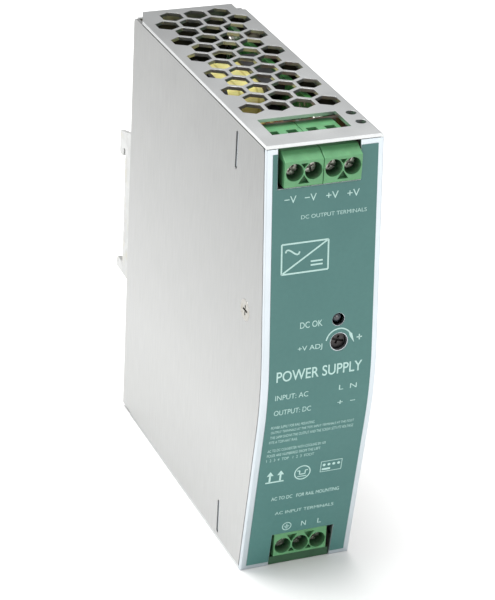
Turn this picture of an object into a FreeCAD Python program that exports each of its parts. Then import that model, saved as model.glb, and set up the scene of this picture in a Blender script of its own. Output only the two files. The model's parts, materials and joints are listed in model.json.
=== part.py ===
import FreeCAD, Part
import math
import os
from FreeCAD import Vector

# DIN-rail power supply: a slim sheet-metal case with screw terminals at the top and bottom
# of its front, circuit boards inside, and a sprung catch for a 35 mm rail on its back.
# Units are millimetres. +X is to the right seen from the front, +Y runs back to the rail
# and +Z is up. The origin is the middle of the face that the rail rests against.

# ---- Case ----
CASE_WIDTH = 32.0
CASE_HEIGHT = 125.2
CASE_DEPTH = 96.0             # top front edge to the back of the side walls
SHEET = 1.0                   # case sheet thickness
SEAM = 0.1                    # gap between folded sheets that meet
COVER_SEAM = 0.3              # gap between the left wall and the top plate
BEND_RADIUS = 1.2             # outside radius of the folds
UPPER_SLOPE = 0.097           # forward lean of the front above its belly, mm per mm
LOWER_SLOPE = 0.147           # backward lean of the front below its belly
FOOT_SETBACK = 1.8            # bottom front edge, behind the top front edge
BELLY_RADIUS = 90.0           # round between the two leans
RAIL_BELOW_TOP = 61.1         # middle of the rail, below the top of the case
SEAT_BEHIND_CASE = 4.2        # the rail's seat, behind the side walls

# ---- Rail (35 mm top-hat) and its catch ----
RAIL_WIDTH = 35.0
RAIL_THICKNESS = 1.0
RAIL_CLEARANCE = 0.4          # above, below and behind the rail's flanges
HOOK_BACK = 4.5               # back of the hooks, behind the seat
HOOK_LAP = 1.8                # how far a hook reaches over the rail's flange
BRACKET_SHEET = 1.2
LATCH_TRAVEL = 4.0
RUNNING_GAP = 0.05            # clearance of sliding and turning pieces

# ---- Honeycomb vents ----
HEX_PITCH = 7.06
HEX_ACROSS_FLATS = 6.0
HEX_ROWS = 12
HEX_FIRST_ROW = 90.4          # rearmost row, behind the top front edge

# ---- Terminal blocks ----
POLE_PITCH = 5.08
BLOCK_DEPTH = 20.0
BLOCK_HEIGHT = 8.6
BLOCK_FACE = 6.9              # height of the upright face below the slope
BLOCK_SLOPE_RUN = 3.4
BLOCK_END = 0.13              # plastic outside each end pole's pitch
BLOCK_ROUND = 0.2
MODULE_GAP = 0.16             # between the two halves of the output block
SCREW_AXIS = 4.0              # screw axis above the block's flat underside
WELL_RADIUS = 2.35
HEAD_RADIUS = 1.9
HEAD_START = 2.7
HEAD_LENGTH = 1.3
SHANK_RADIUS = 1.25
CLAMP_TRAVEL = 2.5
POCKET_FRONT = 4.8
POCKET_BACK = 15.9
POCKET_TOP = 6.7
CLAMP_BACK = 15.8
CLAMP_LENGTH = 7.2
CLAMP_FRONT_WALL = 1.6
CLAMP_WALL = 0.8
CLAMP_HALF_WIDTH = 1.95
CLAMP_BOTTOM = 1.5
CLAMP_TOP = 6.5
BUSBAR_FRONT = 10.6
BUSBAR_THICKNESS = 0.8
ENTRY_FRONT = 12.0
ENTRY_BACK = 15.4
ENTRY_WIDTH = 2.8
OUTPUT_POLES = 4
INPUT_POLES = 3
OUTPUT_CENTRE = 14.75         # middle of each block, from the left side of the case
INPUT_CENTRE = 17.25
OUTPUT_FACE = -2.5            # face of each block, behind the top front edge
INPUT_FACE = 1.6
OUTPUT_BASE_DROP = 10.9       # flat side of each block, below the top of the case
INPUT_BASE_DROP = 115.5
CUTOUT_FROM_FACE = 8.5        # wire cutout in the case, behind the block's face
CUTOUT_LENGTH = 10.2
OUTPUT_SLOT_ANGLES = (38.0, 72.0, 20.0, 25.0)
INPUT_SLOT_ANGLES = (150.0, 35.0, 50.0)

# ---- Indicator and adjuster, from the left side and below the top ----
LED_ACROSS = 20.7
LED_DROP = 48.6
LED_RADIUS = 1.6
LED_SUNK = 0.5                # tip of the lamp behind the front
TRIM_ACROSS = 21.0
TRIM_DROP = 54.8
TRIM_HOLE_RADIUS = 2.35
TRIM_BODY = 6.6
ROTOR_RADIUS = 2.0
ROTOR_DEPTH = 1.2             # rotor face behind the front
LABEL_MARGIN = 0.2            # bare metal left round each round hole

# ---- Boards ----
BOARD_THICKNESS = 1.6
BOARD_RIGHT_GAP = 3.0         # main board to the right wall
INSULATION = 0.3
OUTPUT_BOARD_DEPTH = OUTPUT_FACE + BLOCK_DEPTH
INPUT_BOARD_DEPTH = INPUT_FACE + BLOCK_DEPTH
INDICATOR_BOARD_DEPTH = 3.0
PIN_HALF = 0.32
PIN_HOLE = 0.5

X_LEFT = -CASE_WIDTH / 2
X_RIGHT = CASE_WIDTH / 2
Z_TOP = RAIL_BELOW_TOP
Z_BOTTOM = Z_TOP - CASE_HEIGHT
Y_REAR = -SEAT_BEHIND_CASE
Y_FRONT = Y_REAR - CASE_DEPTH
BOARD_FACE = X_RIGHT - SHEET - BOARD_RIGHT_GAP - BOARD_THICKNESS

X_AXIS = Vector(1, 0, 0)
Y_AXIS = Vector(0, 1, 0)
Z_AXIS = Vector(0, 0, 1)


# ---------------------------------------------------------------- helpers

def across(distance):
    """X of a point this far from the left side of the case."""
    return X_LEFT + distance


def behind(distance):
    """Y of a point this far behind the top front edge."""
    return Y_FRONT + distance


def below(distance):
    """Z of a point this far below the top of the case."""
    return Z_TOP - distance


def box(x, y, z):
    """Block between the two limits given for each axis."""
    low = Vector(min(x), min(y), min(z))
    return Part.makeBox(abs(x[1] - x[0]), abs(y[1] - y[0]), abs(z[1] - z[0]), low)


def rod(radius, start, end):
    """Cylinder between two points."""
    direction = Vector(*end) - Vector(*start)
    return Part.makeCylinder(radius, direction.Length, Vector(*start), direction)


def prism(points, direction):
    """Closed polygon, given as 3-D points, pushed along a vector."""
    corners = [Vector(*point) for point in points]
    return Part.Face(Part.makePolygon(corners + corners[:1])).extrude(Vector(*direction))


def prism_x(outline, x):
    """Polygon of (y, z) points pushed from x[0] to x[1]."""
    return prism([(x[0], point[0], point[1]) for point in outline], (x[1] - x[0], 0, 0))


def fuse(shapes):
    """Join shapes that touch into one clean solid."""
    joined = shapes[0]
    if len(shapes) > 1:
        joined = shapes[0].multiFuse(shapes[1:])
    return joined.removeSplitter()


def cut(shape, tools):
    """Take a list of tools away from a shape."""
    return shape.cut(Part.Compound(tools))


def group(solids):
    """Several separate pieces that share a node."""
    return Part.Compound(solids)


def edges_along(shape, axis, test):
    """Straight edges parallel to an axis whose middle passes a test."""
    found = []
    for edge in shape.Edges:
        if len(edge.Vertexes) != 2:
            continue
        run = edge.Vertexes[1].Point - edge.Vertexes[0].Point
        if run.Length > 0 and abs(run.normalize().dot(axis)) > 0.999:
            if test(edge.CenterOfMass):
                found.append(edge)
    return found


def on_board(shape, depth, drop):
    """Set a component on the main board: its own z is height, its y runs to the back."""
    placed = shape.copy()
    placed.rotate(Vector(0, 0, 0), Y_AXIS, -90)
    placed.translate(Vector(BOARD_FACE, behind(depth), below(drop)))
    return placed


# ---------------------------------------------------------------- front profile

UPPER_ANGLE = math.atan(UPPER_SLOPE)
LOWER_ANGLE = math.atan(LOWER_SLOPE)
UPPER_OUT = Vector(0, -math.cos(UPPER_ANGLE), math.sin(UPPER_ANGLE))
LOWER_OUT = Vector(0, -math.cos(LOWER_ANGLE), -math.sin(LOWER_ANGLE))
MIDDLE_OUT = (UPPER_OUT + LOWER_OUT).normalize()


def belly_centre():
    """Centre of the round between the upper and lower leans of the front."""
    drop = (LOWER_SLOPE * CASE_HEIGHT - FOOT_SETBACK) / (UPPER_SLOPE + LOWER_SLOPE)
    corner = Vector(0, behind(-UPPER_SLOPE * drop), below(drop))
    half_turn = (UPPER_ANGLE + LOWER_ANGLE) / 2
    return corner - MIDDLE_OUT * (BELLY_RADIUS / math.cos(half_turn))


def front_edge_points(inset, z_high, z_low):
    """Top, tangent, middle, tangent and bottom points of the front, set back by inset."""
    centre = belly_centre()
    radius = BELLY_RADIUS - inset
    upper = centre + UPPER_OUT * radius
    lower = centre + LOWER_OUT * radius
    top = Vector(0, upper.y + UPPER_SLOPE * (z_high - upper.z), z_high)
    bottom = Vector(0, lower.y + LOWER_SLOPE * (lower.z - z_low), z_low)
    return [top, upper, centre + MIDDLE_OUT * radius, lower, bottom]


def front_edge(inset, z_high, z_low):
    """Edges of the front's profile from top to bottom."""
    top, upper, middle, lower, bottom = front_edge_points(inset, z_high, z_low)
    return [Part.LineSegment(top, upper).toShape(),
            Part.Arc(upper, middle, lower).toShape(),
            Part.LineSegment(lower, bottom).toShape()]


def front_y(z, inset=0.0):
    """Y of the front surface at a height."""
    top, upper, middle, lower, bottom = front_edge_points(inset, Z_TOP, Z_BOTTOM)
    if z > upper.z:
        return upper.y + UPPER_SLOPE * (z - upper.z)
    if z < lower.z:
        return lower.y + LOWER_SLOPE * (lower.z - z)
    centre = belly_centre()
    return centre.y - math.sqrt((BELLY_RADIUS - inset) ** 2 - (z - centre.z) ** 2)


def front_sheet(outer, inner, x, z):
    """Sheet that follows the front between two insets."""
    front = front_edge(outer, max(z), min(z))
    back = front_edge(inner, max(z), min(z))
    lids = []
    for index in (0, -1):
        start = front_edge_points(outer, max(z), min(z))[index]
        finish = front_edge_points(inner, max(z), min(z))[index]
        lids.append(Part.LineSegment(start, finish).toShape())
    wire = Part.Wire(Part.__sortEdges__(front + back + lids))
    sheet = Part.Face(wire).extrude(Vector(x[1] - x[0], 0, 0))
    sheet.translate(Vector(x[0], 0, 0))
    return sheet


def side_slab(x, inset, z, y_back):
    """Flat wall across X whose front edge follows the front profile."""
    front = front_edge(inset, max(z), min(z))
    points = front_edge_points(inset, max(z), min(z))
    back_top = Vector(0, y_back, max(z))
    back_bottom = Vector(0, y_back, min(z))
    sides = [Part.LineSegment(points[0], back_top).toShape(),
             Part.LineSegment(back_top, back_bottom).toShape(),
             Part.LineSegment(back_bottom, points[-1]).toShape()]
    wire = Part.Wire(Part.__sortEdges__(front + sides))
    slab = Part.Face(wire).extrude(Vector(x[1] - x[0], 0, 0))
    slab.translate(Vector(x[0], 0, 0))
    return slab


# ---------------------------------------------------------------- openings in the case

PANEL_TOP_DROP = SHEET + 0.15
OUTPUT_NOTCH = (across(3.1), across(25.6))
OUTPUT_NOTCH_DROP = 11.6
INPUT_NOTCH = (across(8.2), across(26.1))
INPUT_NOTCH_DROP = 114.5
FOOT_NOTCH_DEPTH = 6.0        # cut back of the bottom plate under the input block
TAB_DEPTH = 18.7
TAB_HEIGHT = 9.4
TAB_DROPS = (8.9, 118.1)
TAB_PLAY = 0.2
TAB_SUNK = 0.3                # tab end below the face of the side wall
SCREW_DEPTH = 7.8
SCREW_DROP = 49.1
CASE_SCREW_HEAD = 2.9
CASE_SCREW_RADIUS = 1.45
ROUND_HOLE_RADIUS = 1.4
ROUND_HOLES = ((29.1, 8.1), (29.1, 14.1))


def honeycomb(z):
    """Hexagonal holes in rows of three and four, through a plate at the given heights."""
    corner_radius = HEX_ACROSS_FLATS / math.sqrt(3)
    row_step = HEX_PITCH * math.sqrt(3) / 2
    holes = []
    for row in range(HEX_ROWS):
        columns = 3 + row % 2
        for column in range(columns):
            x = (column - (columns - 1) / 2) * HEX_PITCH
            y = behind(HEX_FIRST_ROW - row * row_step)
            corners = [(x + corner_radius * math.sin(math.radians(turn)),
                        y + corner_radius * math.cos(math.radians(turn)), min(z))
                       for turn in range(0, 360, 60)]
            holes.append(prism(corners, (0, 0, abs(z[1] - z[0]))))
    return holes


def wire_cutout(notch, face, z, left_extra=0.9):
    """Rectangular cutout in the top or bottom plate over a block's wire entries."""
    y = behind(face + CUTOUT_FROM_FACE)
    return box((notch[0] + left_extra, notch[1]), (y, y + CUTOUT_LENGTH), z)


def tab_slot(x, drop):
    """Upright slot with round ends that takes one of the front panel's tabs."""
    half = SHEET / 2 + TAB_PLAY
    end = TAB_HEIGHT / 2 + 0.5 - half
    y = behind(TAB_DEPTH)
    z = below(drop)
    return fuse([box(x, (y - half, y + half), (z - end, z + end)),
                 rod(half, (x[0], y, z - end), (x[1], y, z - end)),
                 rod(half, (x[0], y, z + end), (x[1], y, z + end))])


def screw_hole(outward):
    """Countersunk hole for a case screw, in the wall on the side outward points to."""
    y, z = behind(SCREW_DEPTH), below(SCREW_DROP)
    face = outward * X_RIGHT
    return Part.makeCone(CASE_SCREW_HEAD + 0.05, CASE_SCREW_RADIUS + 0.05, SHEET,
                         Vector(face, y, z), Vector(-outward, 0, 0))


# ---------------------------------------------------------------- case pieces

REAR_RIVETS = [(x, z) for x in (-9.0, 9.0) for z in (-6.0, 13.0)]
RIVET_RADIUS = 1.5
RIVET_TAIL = 2.3


def make_chassis():
    """Right wall, top, bottom and back, folded from one sheet, with the vents."""
    y_range = (Y_FRONT - 10, Y_REAR)
    outer = box((X_LEFT, X_RIGHT), y_range, (Z_BOTTOM, Z_TOP))
    outer = outer.makeFillet(BEND_RADIUS, edges_along(outer, Y_AXIS, lambda c: c.x > 0))
    inner = box((X_LEFT - 1, X_RIGHT - SHEET), (Y_FRONT - 11, Y_REAR - SHEET),
                (Z_BOTTOM + SHEET, Z_TOP - SHEET))
    shell = outer.cut(inner)
    panel_room = front_sheet(-20, SHEET + 0.05, (X_LEFT - 1, X_RIGHT + 1),
                             (Z_BOTTOM - 1, below(PANEL_TOP_DROP)))
    lip_trim = box((X_LEFT - 1, X_RIGHT + 1), (Y_FRONT - 12, Y_FRONT - 0.1),
                   (below(PANEL_TOP_DROP) - 0.01, Z_TOP + 1))
    rear_gap = box((X_LEFT - 1, X_LEFT + SHEET + 0.05), (Y_REAR - SHEET - 0.01, Y_REAR + 1),
                   (Z_BOTTOM + SHEET, Z_TOP - SHEET))
    shell = cut(shell, [panel_room, lip_trim, rear_gap])
    lips = []
    for z in ((Z_TOP - SHEET - 5.0, Z_TOP - SHEET), (Z_BOTTOM + SHEET, Z_BOTTOM + SHEET + 5.0)):
        lips.append(box((X_LEFT + SHEET + 0.05, X_LEFT + 2 * SHEET), (behind(26), behind(92)), z))
    shell = fuse([shell] + lips)
    top_span = (Z_TOP - SHEET - 0.5, Z_TOP + 1)
    bottom_span = (Z_BOTTOM - 1, Z_BOTTOM + SHEET + 0.5)
    tools = honeycomb(top_span) + honeycomb(bottom_span)
    tools.append(wire_cutout(OUTPUT_NOTCH, OUTPUT_FACE, top_span))
    tools.append(wire_cutout(INPUT_NOTCH, INPUT_FACE, bottom_span, 0.0))
    tools.append(box(INPUT_NOTCH, (Y_FRONT - 20, behind(FOOT_NOTCH_DEPTH)), bottom_span))
    for x, y in ROUND_HOLES:
        tools.append(rod(ROUND_HOLE_RADIUS, (across(x), behind(y), top_span[0]),
                         (across(x), behind(y), top_span[1])))
    for span in (top_span, bottom_span):
        corner = [(X_LEFT - 1, Y_REAR - 6.5, span[0]), (X_LEFT, Y_REAR - 6.5, span[0]),
                  (X_LEFT + 2.8, Y_REAR + 1, span[0]), (X_LEFT - 1, Y_REAR + 1, span[0])]
        tools.append(prism(corner, (0, 0, span[1] - span[0])))
        tools.append(box((X_RIGHT - 3.0, X_RIGHT + 1), (Y_REAR - 5.0, Y_REAR + 1), span))
    for drop in TAB_DROPS:
        tools.append(tab_slot((X_RIGHT - SHEET - 0.5, X_RIGHT + 0.5), drop))
    tools.append(screw_hole(1))
    for x, z in REAR_RIVETS:
        tools.append(rod(RIVET_RADIUS, (x, Y_REAR - SHEET - 1, z), (x, Y_REAR + 1, z)))
    return cut(shell, tools)


def make_side_cover():
    """Flat left wall that closes the chassis."""
    z = (Z_BOTTOM + SHEET + 0.05, Z_TOP - SHEET - COVER_SEAM)
    plate = side_slab((X_LEFT, X_LEFT + SHEET), SHEET + 0.4, z, Y_REAR)
    corners = edges_along(plate, X_AXIS, lambda c: c.z > Z_TOP - 3)
    plate = plate.makeFillet(1.6, corners)
    tools = [tab_slot((X_LEFT - 0.5, X_LEFT + SHEET + 0.5), drop) for drop in TAB_DROPS]
    tools.append(screw_hole(-1))
    return cut(plate, tools)


def make_front_panel():
    """Bowed front sheet with side flanges, locating tabs and notches for the blocks."""
    z = (Z_BOTTOM + SEAM, below(PANEL_TOP_DROP))
    face = front_sheet(0, SHEET, (X_LEFT, X_RIGHT), z)
    face = face.makeFillet(0.45, [edge for edge in face.Edges
                                  if abs(abs(edge.CenterOfMass.x) - X_RIGHT) < 0.01
                                  and edge.CenterOfMass.y < front_y(edge.CenterOfMass.z) + 0.2
                                  and edge.Length > 5])
    flange_z = (Z_BOTTOM + SHEET + 0.3, Z_TOP - SHEET - 0.8)
    pieces = [face]
    for side in (-1, 1):
        x = (side * (X_RIGHT - 2 * SHEET - 0.05), side * (X_RIGHT - SHEET - 0.05))
        pieces.append(front_sheet(SHEET / 2, 13.5, (min(x), max(x)), flange_z))
        for drop in TAB_DROPS:
            ear_z = (below(drop + 5.6), min(below(drop - 5.6), flange_z[1]))
            ear_front = front_y(below(drop), 8.0)
            pieces.append(box(x, (ear_front, behind(TAB_DEPTH) + SHEET / 2), ear_z))
            tab_z = (below(drop) - TAB_HEIGHT / 2, below(drop) + TAB_HEIGHT / 2)
            pieces.append(box((x[0], side * (X_RIGHT - TAB_SUNK)),
                              (behind(TAB_DEPTH) - SHEET / 2, behind(TAB_DEPTH) + SHEET / 2), tab_z))
    panel = fuse(pieces)
    tools = [box(OUTPUT_NOTCH, (Y_FRONT - 20, Y_FRONT + 10), (below(OUTPUT_NOTCH_DROP), Z_TOP)),
             box(INPUT_NOTCH, (Y_FRONT - 20, Y_FRONT + 10), (Z_BOTTOM - 1, below(INPUT_NOTCH_DROP)))]
    tools += indicator_holes(LED_RADIUS + 0.1, TRIM_HOLE_RADIUS)
    y, z_screw = behind(SCREW_DEPTH), below(SCREW_DROP)
    tools.append(rod(CASE_SCREW_RADIUS + 0.05, (X_LEFT, y, z_screw), (X_RIGHT, y, z_screw)))
    return cut(panel, tools)


def indicator_holes(led_radius, trim_radius):
    """Round holes through the front for the indicator and the adjuster."""
    holes = []
    for x, drop, radius in ((LED_ACROSS, LED_DROP, led_radius), (TRIM_ACROSS, TRIM_DROP, trim_radius)):
        y = front_y(below(drop))
        holes.append(rod(radius, (across(x), y - 3, below(drop)), (across(x), y + 3, below(drop))))
    return holes


def make_front_label():
    """Printed film on the front panel, inside a bare margin."""
    film = front_sheet(-0.15, 0, (X_LEFT + 1.75, X_RIGHT - 1.65), (below(123.8), below(2.5)))
    margin = 0.1
    tools = [box((OUTPUT_NOTCH[0] - margin, OUTPUT_NOTCH[1] + margin), (Y_FRONT - 20, Y_FRONT + 10),
                 (below(OUTPUT_NOTCH_DROP + margin), Z_TOP)),
             box((INPUT_NOTCH[0] - margin, INPUT_NOTCH[1] + margin), (Y_FRONT - 20, Y_FRONT + 10),
                 (Z_BOTTOM - 1, below(INPUT_NOTCH_DROP - margin)))]
    tools += indicator_holes(LED_RADIUS + LABEL_MARGIN, TRIM_HOLE_RADIUS + LABEL_MARGIN)
    return cut(film, tools)


def make_case_screw(side):
    """Countersunk cross-head screw through one side wall into the panel's flange."""
    y, z = behind(SCREW_DEPTH), below(SCREW_DROP)
    face = side * X_RIGHT
    head = Part.makeCone(CASE_SCREW_HEAD, CASE_SCREW_RADIUS, SHEET,
                         Vector(face, y, z), Vector(-side, 0, 0))
    shank = rod(CASE_SCREW_RADIUS, (face - side * SHEET * 0.9, y, z), (face - side * 5.0, y, z))
    recess = [box((face - side * 0.8, face + side), (y - 1.5, y + 1.5), (z - 0.3, z + 0.3)),
              box((face - side * 0.8, face + side), (y - 0.3, y + 0.3), (z - 1.5, z + 1.5))]
    return cut(fuse([head, shank]), recess)


# ---------------------------------------------------------------- rail catch

FLANGE_EDGE = RAIL_WIDTH / 2
HOOK_INNER = RAIL_THICKNESS + RAIL_CLEARANCE
BRACKET_HALF = CASE_WIDTH / 2
WEB_HALF = 14.4
WEB_BACK = Y_REAR + BRACKET_SHEET
BRACKET_TOP = 24.6
BRACKET_BOTTOM = -46.0
LUG_BOTTOM = -21.7            # foot of the fixed lugs below the rail
LATCH_FRONT = WEB_BACK + RUNNING_GAP
LATCH_BACK = LATCH_FRONT + BRACKET_SHEET
LATCH_HALF = 13.6
STUD_Z = -34.0
STUD_X = 8.0
STUD_RADIUS = 1.5
SPRING_LOW = -41.0
SPRING_HIGH = -27.0
SPRING_RADIUS = 1.05
SPRING_WIRE = 0.2
SPRING_TURNS = 9
WINDOW_HALF = 1.7
LATCH_FOOT = -55.0
PULL_SLOT_HALF = 3.0
PULL_SLOT_RADIUS = 1.2


def make_rail_bracket():
    """Channel on the back whose two cheeks seat the rail, hook over its top flange and stand
    below its lower one."""
    web = fuse([box((-WEB_HALF, WEB_HALF), (Y_REAR, WEB_BACK), (BRACKET_BOTTOM, BRACKET_TOP - 2)),
                box((-BRACKET_HALF, BRACKET_HALF), (Y_REAR, WEB_BACK), (LUG_BOTTOM, BRACKET_TOP - 2))])
    cheek = [(Y_REAR, BRACKET_TOP), (HOOK_BACK, BRACKET_TOP - 2.5),
             (HOOK_BACK, FLANGE_EDGE - HOOK_LAP), (HOOK_BACK - 0.6, FLANGE_EDGE - HOOK_LAP - 0.5),
             (HOOK_INNER + 0.5, FLANGE_EDGE - HOOK_LAP - 0.5), (HOOK_INNER, FLANGE_EDGE - HOOK_LAP),
             (HOOK_INNER, FLANGE_EDGE + RAIL_CLEARANCE), (0, FLANGE_EDGE + RAIL_CLEARANCE),
             (0, -FLANGE_EDGE - RAIL_CLEARANCE), (HOOK_BACK - 0.7, -FLANGE_EDGE - RAIL_CLEARANCE),
             (HOOK_BACK, -FLANGE_EDGE - RAIL_CLEARANCE - 0.7), (HOOK_BACK, LUG_BOTTOM + 0.5),
             (Y_REAR, LUG_BOTTOM)]
    pieces = [web]
    for side in (-1, 1):
        x = (side * (BRACKET_HALF - BRACKET_SHEET), side * BRACKET_HALF)
        pieces.append(prism_x(cheek, (min(x), max(x))))
    tab = box((-WINDOW_HALF + 0.1, WINDOW_HALF - 0.1), (Y_REAR, -0.6), (SPRING_LOW - 1.0, SPRING_LOW))
    bracket = fuse(pieces + [tab])
    holes = [rod(RIVET_RADIUS, (x, Y_REAR - 1, z), (x, WEB_BACK + 1, z)) for x, z in REAR_RIVETS]
    for side in (-1, 1):
        holes.append(rod(STUD_RADIUS, (side * STUD_X, Y_REAR - 1, STUD_Z),
                         (side * STUD_X, WEB_BACK + 1, STUD_Z)))
    return cut(bracket, holes)


def make_rivet(x, z):
    """Rivet that holds the rail bracket to the back of the chassis."""
    head = Part.makeSphere(3.0, Vector(x, WEB_BACK - 1.9, z))
    head = head.common(box((x - 4, x + 4), (WEB_BACK, WEB_BACK + 3), (z - 4, z + 4)))
    shank = rod(RIVET_RADIUS, (x, Y_REAR - SHEET, z), (x, WEB_BACK + 0.3, z))
    tail = rod(RIVET_TAIL, (x, Y_REAR - SHEET - 0.8, z), (x, Y_REAR - SHEET, z))
    return fuse([head, shank, tail])


def make_latch_stud(side):
    """Headed stud that guides the latch in its slot."""
    x = side * STUD_X
    return fuse([rod(STUD_RADIUS, (x, Y_REAR, STUD_Z), (x, LATCH_BACK + 0.3, STUD_Z)),
                 rod(2.7, (x, LATCH_BACK + RUNNING_GAP, STUD_Z), (x, LATCH_BACK + 0.85, STUD_Z))])


def make_rail_latch():
    """Sliding catch under the rail's lower flange, with a pull slot at its foot."""
    top = -FLANGE_EDGE - RAIL_CLEARANCE
    foot = LATCH_FOOT
    plate = box((-LATCH_HALF, LATCH_HALF), (LATCH_FRONT, LATCH_BACK), (foot, top - 0.8))
    nose = [(LATCH_FRONT, top), (HOOK_INNER, top), (HOOK_INNER, top + 1.3),
            (HOOK_INNER + 0.5, top + 1.8), (2.6, top + 1.8), (HOOK_BACK, top - 0.7),
            (HOOK_BACK, top - 3.2), (HOOK_BACK - 0.5, top - 4.2), (LATCH_BACK + 0.6, top - 6.6),
            (LATCH_BACK + 0.6, foot + 9.0), (LATCH_BACK, foot + 7.5), (LATCH_FRONT, foot + 7.5)]
    pieces = [plate]
    for side in (-1, 1):
        x = (side * (LATCH_HALF - BRACKET_SHEET), side * LATCH_HALF)
        pieces.append(prism_x(nose, (min(x), max(x))))
    latch = fuse(pieces)
    y = (LATCH_FRONT - 1, LATCH_BACK + 1)
    spring_window = box((-WINDOW_HALF, WINDOW_HALF), y, (SPRING_LOW - 1.2, SPRING_HIGH))
    latch = cut(latch, [spring_window, pull_slot(y, foot + 4.2)] + [stud_slot(y, side) for side in (-1, 1)])
    corners = edges_along(latch, Y_AXIS, lambda c: c.z < foot + 0.1)
    return latch.makeFillet(3.0, corners)


def pull_slot(y, z):
    """Slot in the foot of the latch for the tip of a screwdriver."""
    return fuse([box((-PULL_SLOT_HALF, PULL_SLOT_HALF), y, (z - PULL_SLOT_RADIUS, z + PULL_SLOT_RADIUS)),
                 rod(PULL_SLOT_RADIUS, (-PULL_SLOT_HALF, y[0], z), (-PULL_SLOT_HALF, y[1], z)),
                 rod(PULL_SLOT_RADIUS, (PULL_SLOT_HALF, y[0], z), (PULL_SLOT_HALF, y[1], z))])


def stud_slot(y, side):
    """Slot in the latch that lets it drop by its travel past a stud."""
    x = side * STUD_X
    half = STUD_RADIUS + RUNNING_GAP
    high = STUD_Z + LATCH_TRAVEL + 0.1
    return fuse([box((x - half, x + half), y, (STUD_Z, high)),
                 rod(half, (x, y[0], STUD_Z), (x, y[1], STUD_Z)),
                 rod(half, (x, y[0], high), (x, y[1], high))])


def make_latch_spring():
    """Compression spring that pushes the latch up under the rail."""
    height = SPRING_HIGH - SPRING_LOW - 2 * SPRING_WIRE - 0.1
    helix = Part.makeHelix(height / SPRING_TURNS, height, SPRING_RADIUS)
    section = Part.Wire(Part.Circle(Vector(SPRING_RADIUS, 0, 0), Y_AXIS, SPRING_WIRE).toShape())
    coil = Part.Wire(helix.Edges).makePipeShell([section], True, True)
    ends = []
    for z in (0, height):
        ends.append(Part.makeTorus(SPRING_RADIUS, SPRING_WIRE, Vector(0, 0, z), Z_AXIS))
    spring = coil.multiFuse(ends)
    centre_y = LATCH_FRONT + 0.05 + SPRING_RADIUS + SPRING_WIRE
    spring.translate(Vector(0, centre_y, SPRING_LOW + SPRING_WIRE + 0.05))
    return spring


# ---------------------------------------------------------------- terminal blocks
# A block is made in its own frame: x across, y back from its face, z up from its flat side.

MODULE_POLES = OUTPUT_POLES // 2
MODULE_SHIFT = MODULE_POLES * POLE_PITCH / 2 + BLOCK_END + MODULE_GAP / 2


def pole_centres(poles):
    """x of each pole of a block."""
    return [(pole - (poles - 1) / 2) * POLE_PITCH for pole in range(poles)]


def output_centres():
    """x of each output pole, in the two modules that stand side by side."""
    return [side * MODULE_SHIFT + x for side in (-1, 1) for x in pole_centres(MODULE_POLES)]


def block_housing(poles):
    """Moulded housing with screw wells, wire entries and a pocket for each clamp."""
    half = poles * POLE_PITCH / 2 + BLOCK_END
    outline = [(0, 0), (0, BLOCK_FACE), (BLOCK_SLOPE_RUN, BLOCK_HEIGHT),
               (BLOCK_DEPTH, BLOCK_HEIGHT), (BLOCK_DEPTH, 0)]
    housing = prism_x(outline, (-half, half))
    rounded = [edge for edge in housing.Edges if edge.CenterOfMass.y < BLOCK_DEPTH - 1
               and (edge.CenterOfMass.z > 0.1 or abs(edge.CenterOfMass.x) < 0.1)]
    housing = housing.makeFillet(BLOCK_ROUND, rounded)
    tools = []
    for x in pole_centres(poles):
        tools.append(rod(WELL_RADIUS, (x, -1, SCREW_AXIS), (x, HEAD_START + HEAD_LENGTH + 0.05, SCREW_AXIS)))
        tools.append(rod(SHANK_RADIUS + RUNNING_GAP, (x, 0, SCREW_AXIS), (x, POCKET_FRONT + 0.1, SCREW_AXIS)))
        pocket = CLAMP_HALF_WIDTH + RUNNING_GAP
        tools.append(box((x - pocket, x + pocket), (POCKET_FRONT, POCKET_BACK), (-1, POCKET_TOP)))
        tools.append(box((x - ENTRY_WIDTH / 2, x + ENTRY_WIDTH / 2), (ENTRY_FRONT, ENTRY_BACK),
                         (POCKET_TOP - 0.1, BLOCK_HEIGHT + 1)))
        tools.append(box((x - 0.65, x + 0.65), (POCKET_BACK - 0.1, BLOCK_DEPTH + 1), (-1, 1.15)))
    housing = cut(housing, tools)
    recesses = []
    for x in pole_centres(poles)[:-1]:
        middle = x + POLE_PITCH / 2
        recesses.append(triangle_recess(middle, 0.8, 3.1, 1.5))
        recesses.append(triangle_recess(middle, 6.2, 4.9, 1.0))
    return cut(housing, recesses)


def triangle_recess(x, base_z, tip_z, half_base):
    """Sunk triangle in the face between two screw wells."""
    return prism([(x - half_base, -1, base_z), (x + half_base, -1, base_z), (x, -1, tip_z)], (0, 2.4, 0))


def clamp_screw(x, slot_angle):
    """Captive screw with a slot and a short cross cut in its head."""
    head_end = HEAD_START + HEAD_LENGTH
    head = rod(HEAD_RADIUS, (x, HEAD_START, SCREW_AXIS), (x, head_end, SCREW_AXIS))
    head = head.makeFillet(0.35, [edge for edge in head.Edges if edge.CenterOfMass.y < HEAD_START + 0.1
                                  and len(edge.Vertexes) == 1])
    shank = rod(SHANK_RADIUS, (x, head_end, SCREW_AXIS), (x, BUSBAR_FRONT - RUNNING_GAP, SCREW_AXIS))
    slot_y = (HEAD_START - 1, HEAD_START + 0.85)
    slots = [box((x - 3, x + 3), slot_y, (SCREW_AXIS - 0.3, SCREW_AXIS + 0.3)),
             box((x - 0.28, x + 0.28), slot_y, (SCREW_AXIS - 1.1, SCREW_AXIS + 1.1))]
    for slot in slots:
        slot.rotate(Vector(x, 0, SCREW_AXIS), Y_AXIS, slot_angle)
    return cut(fuse([head, shank]), slots)


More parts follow.
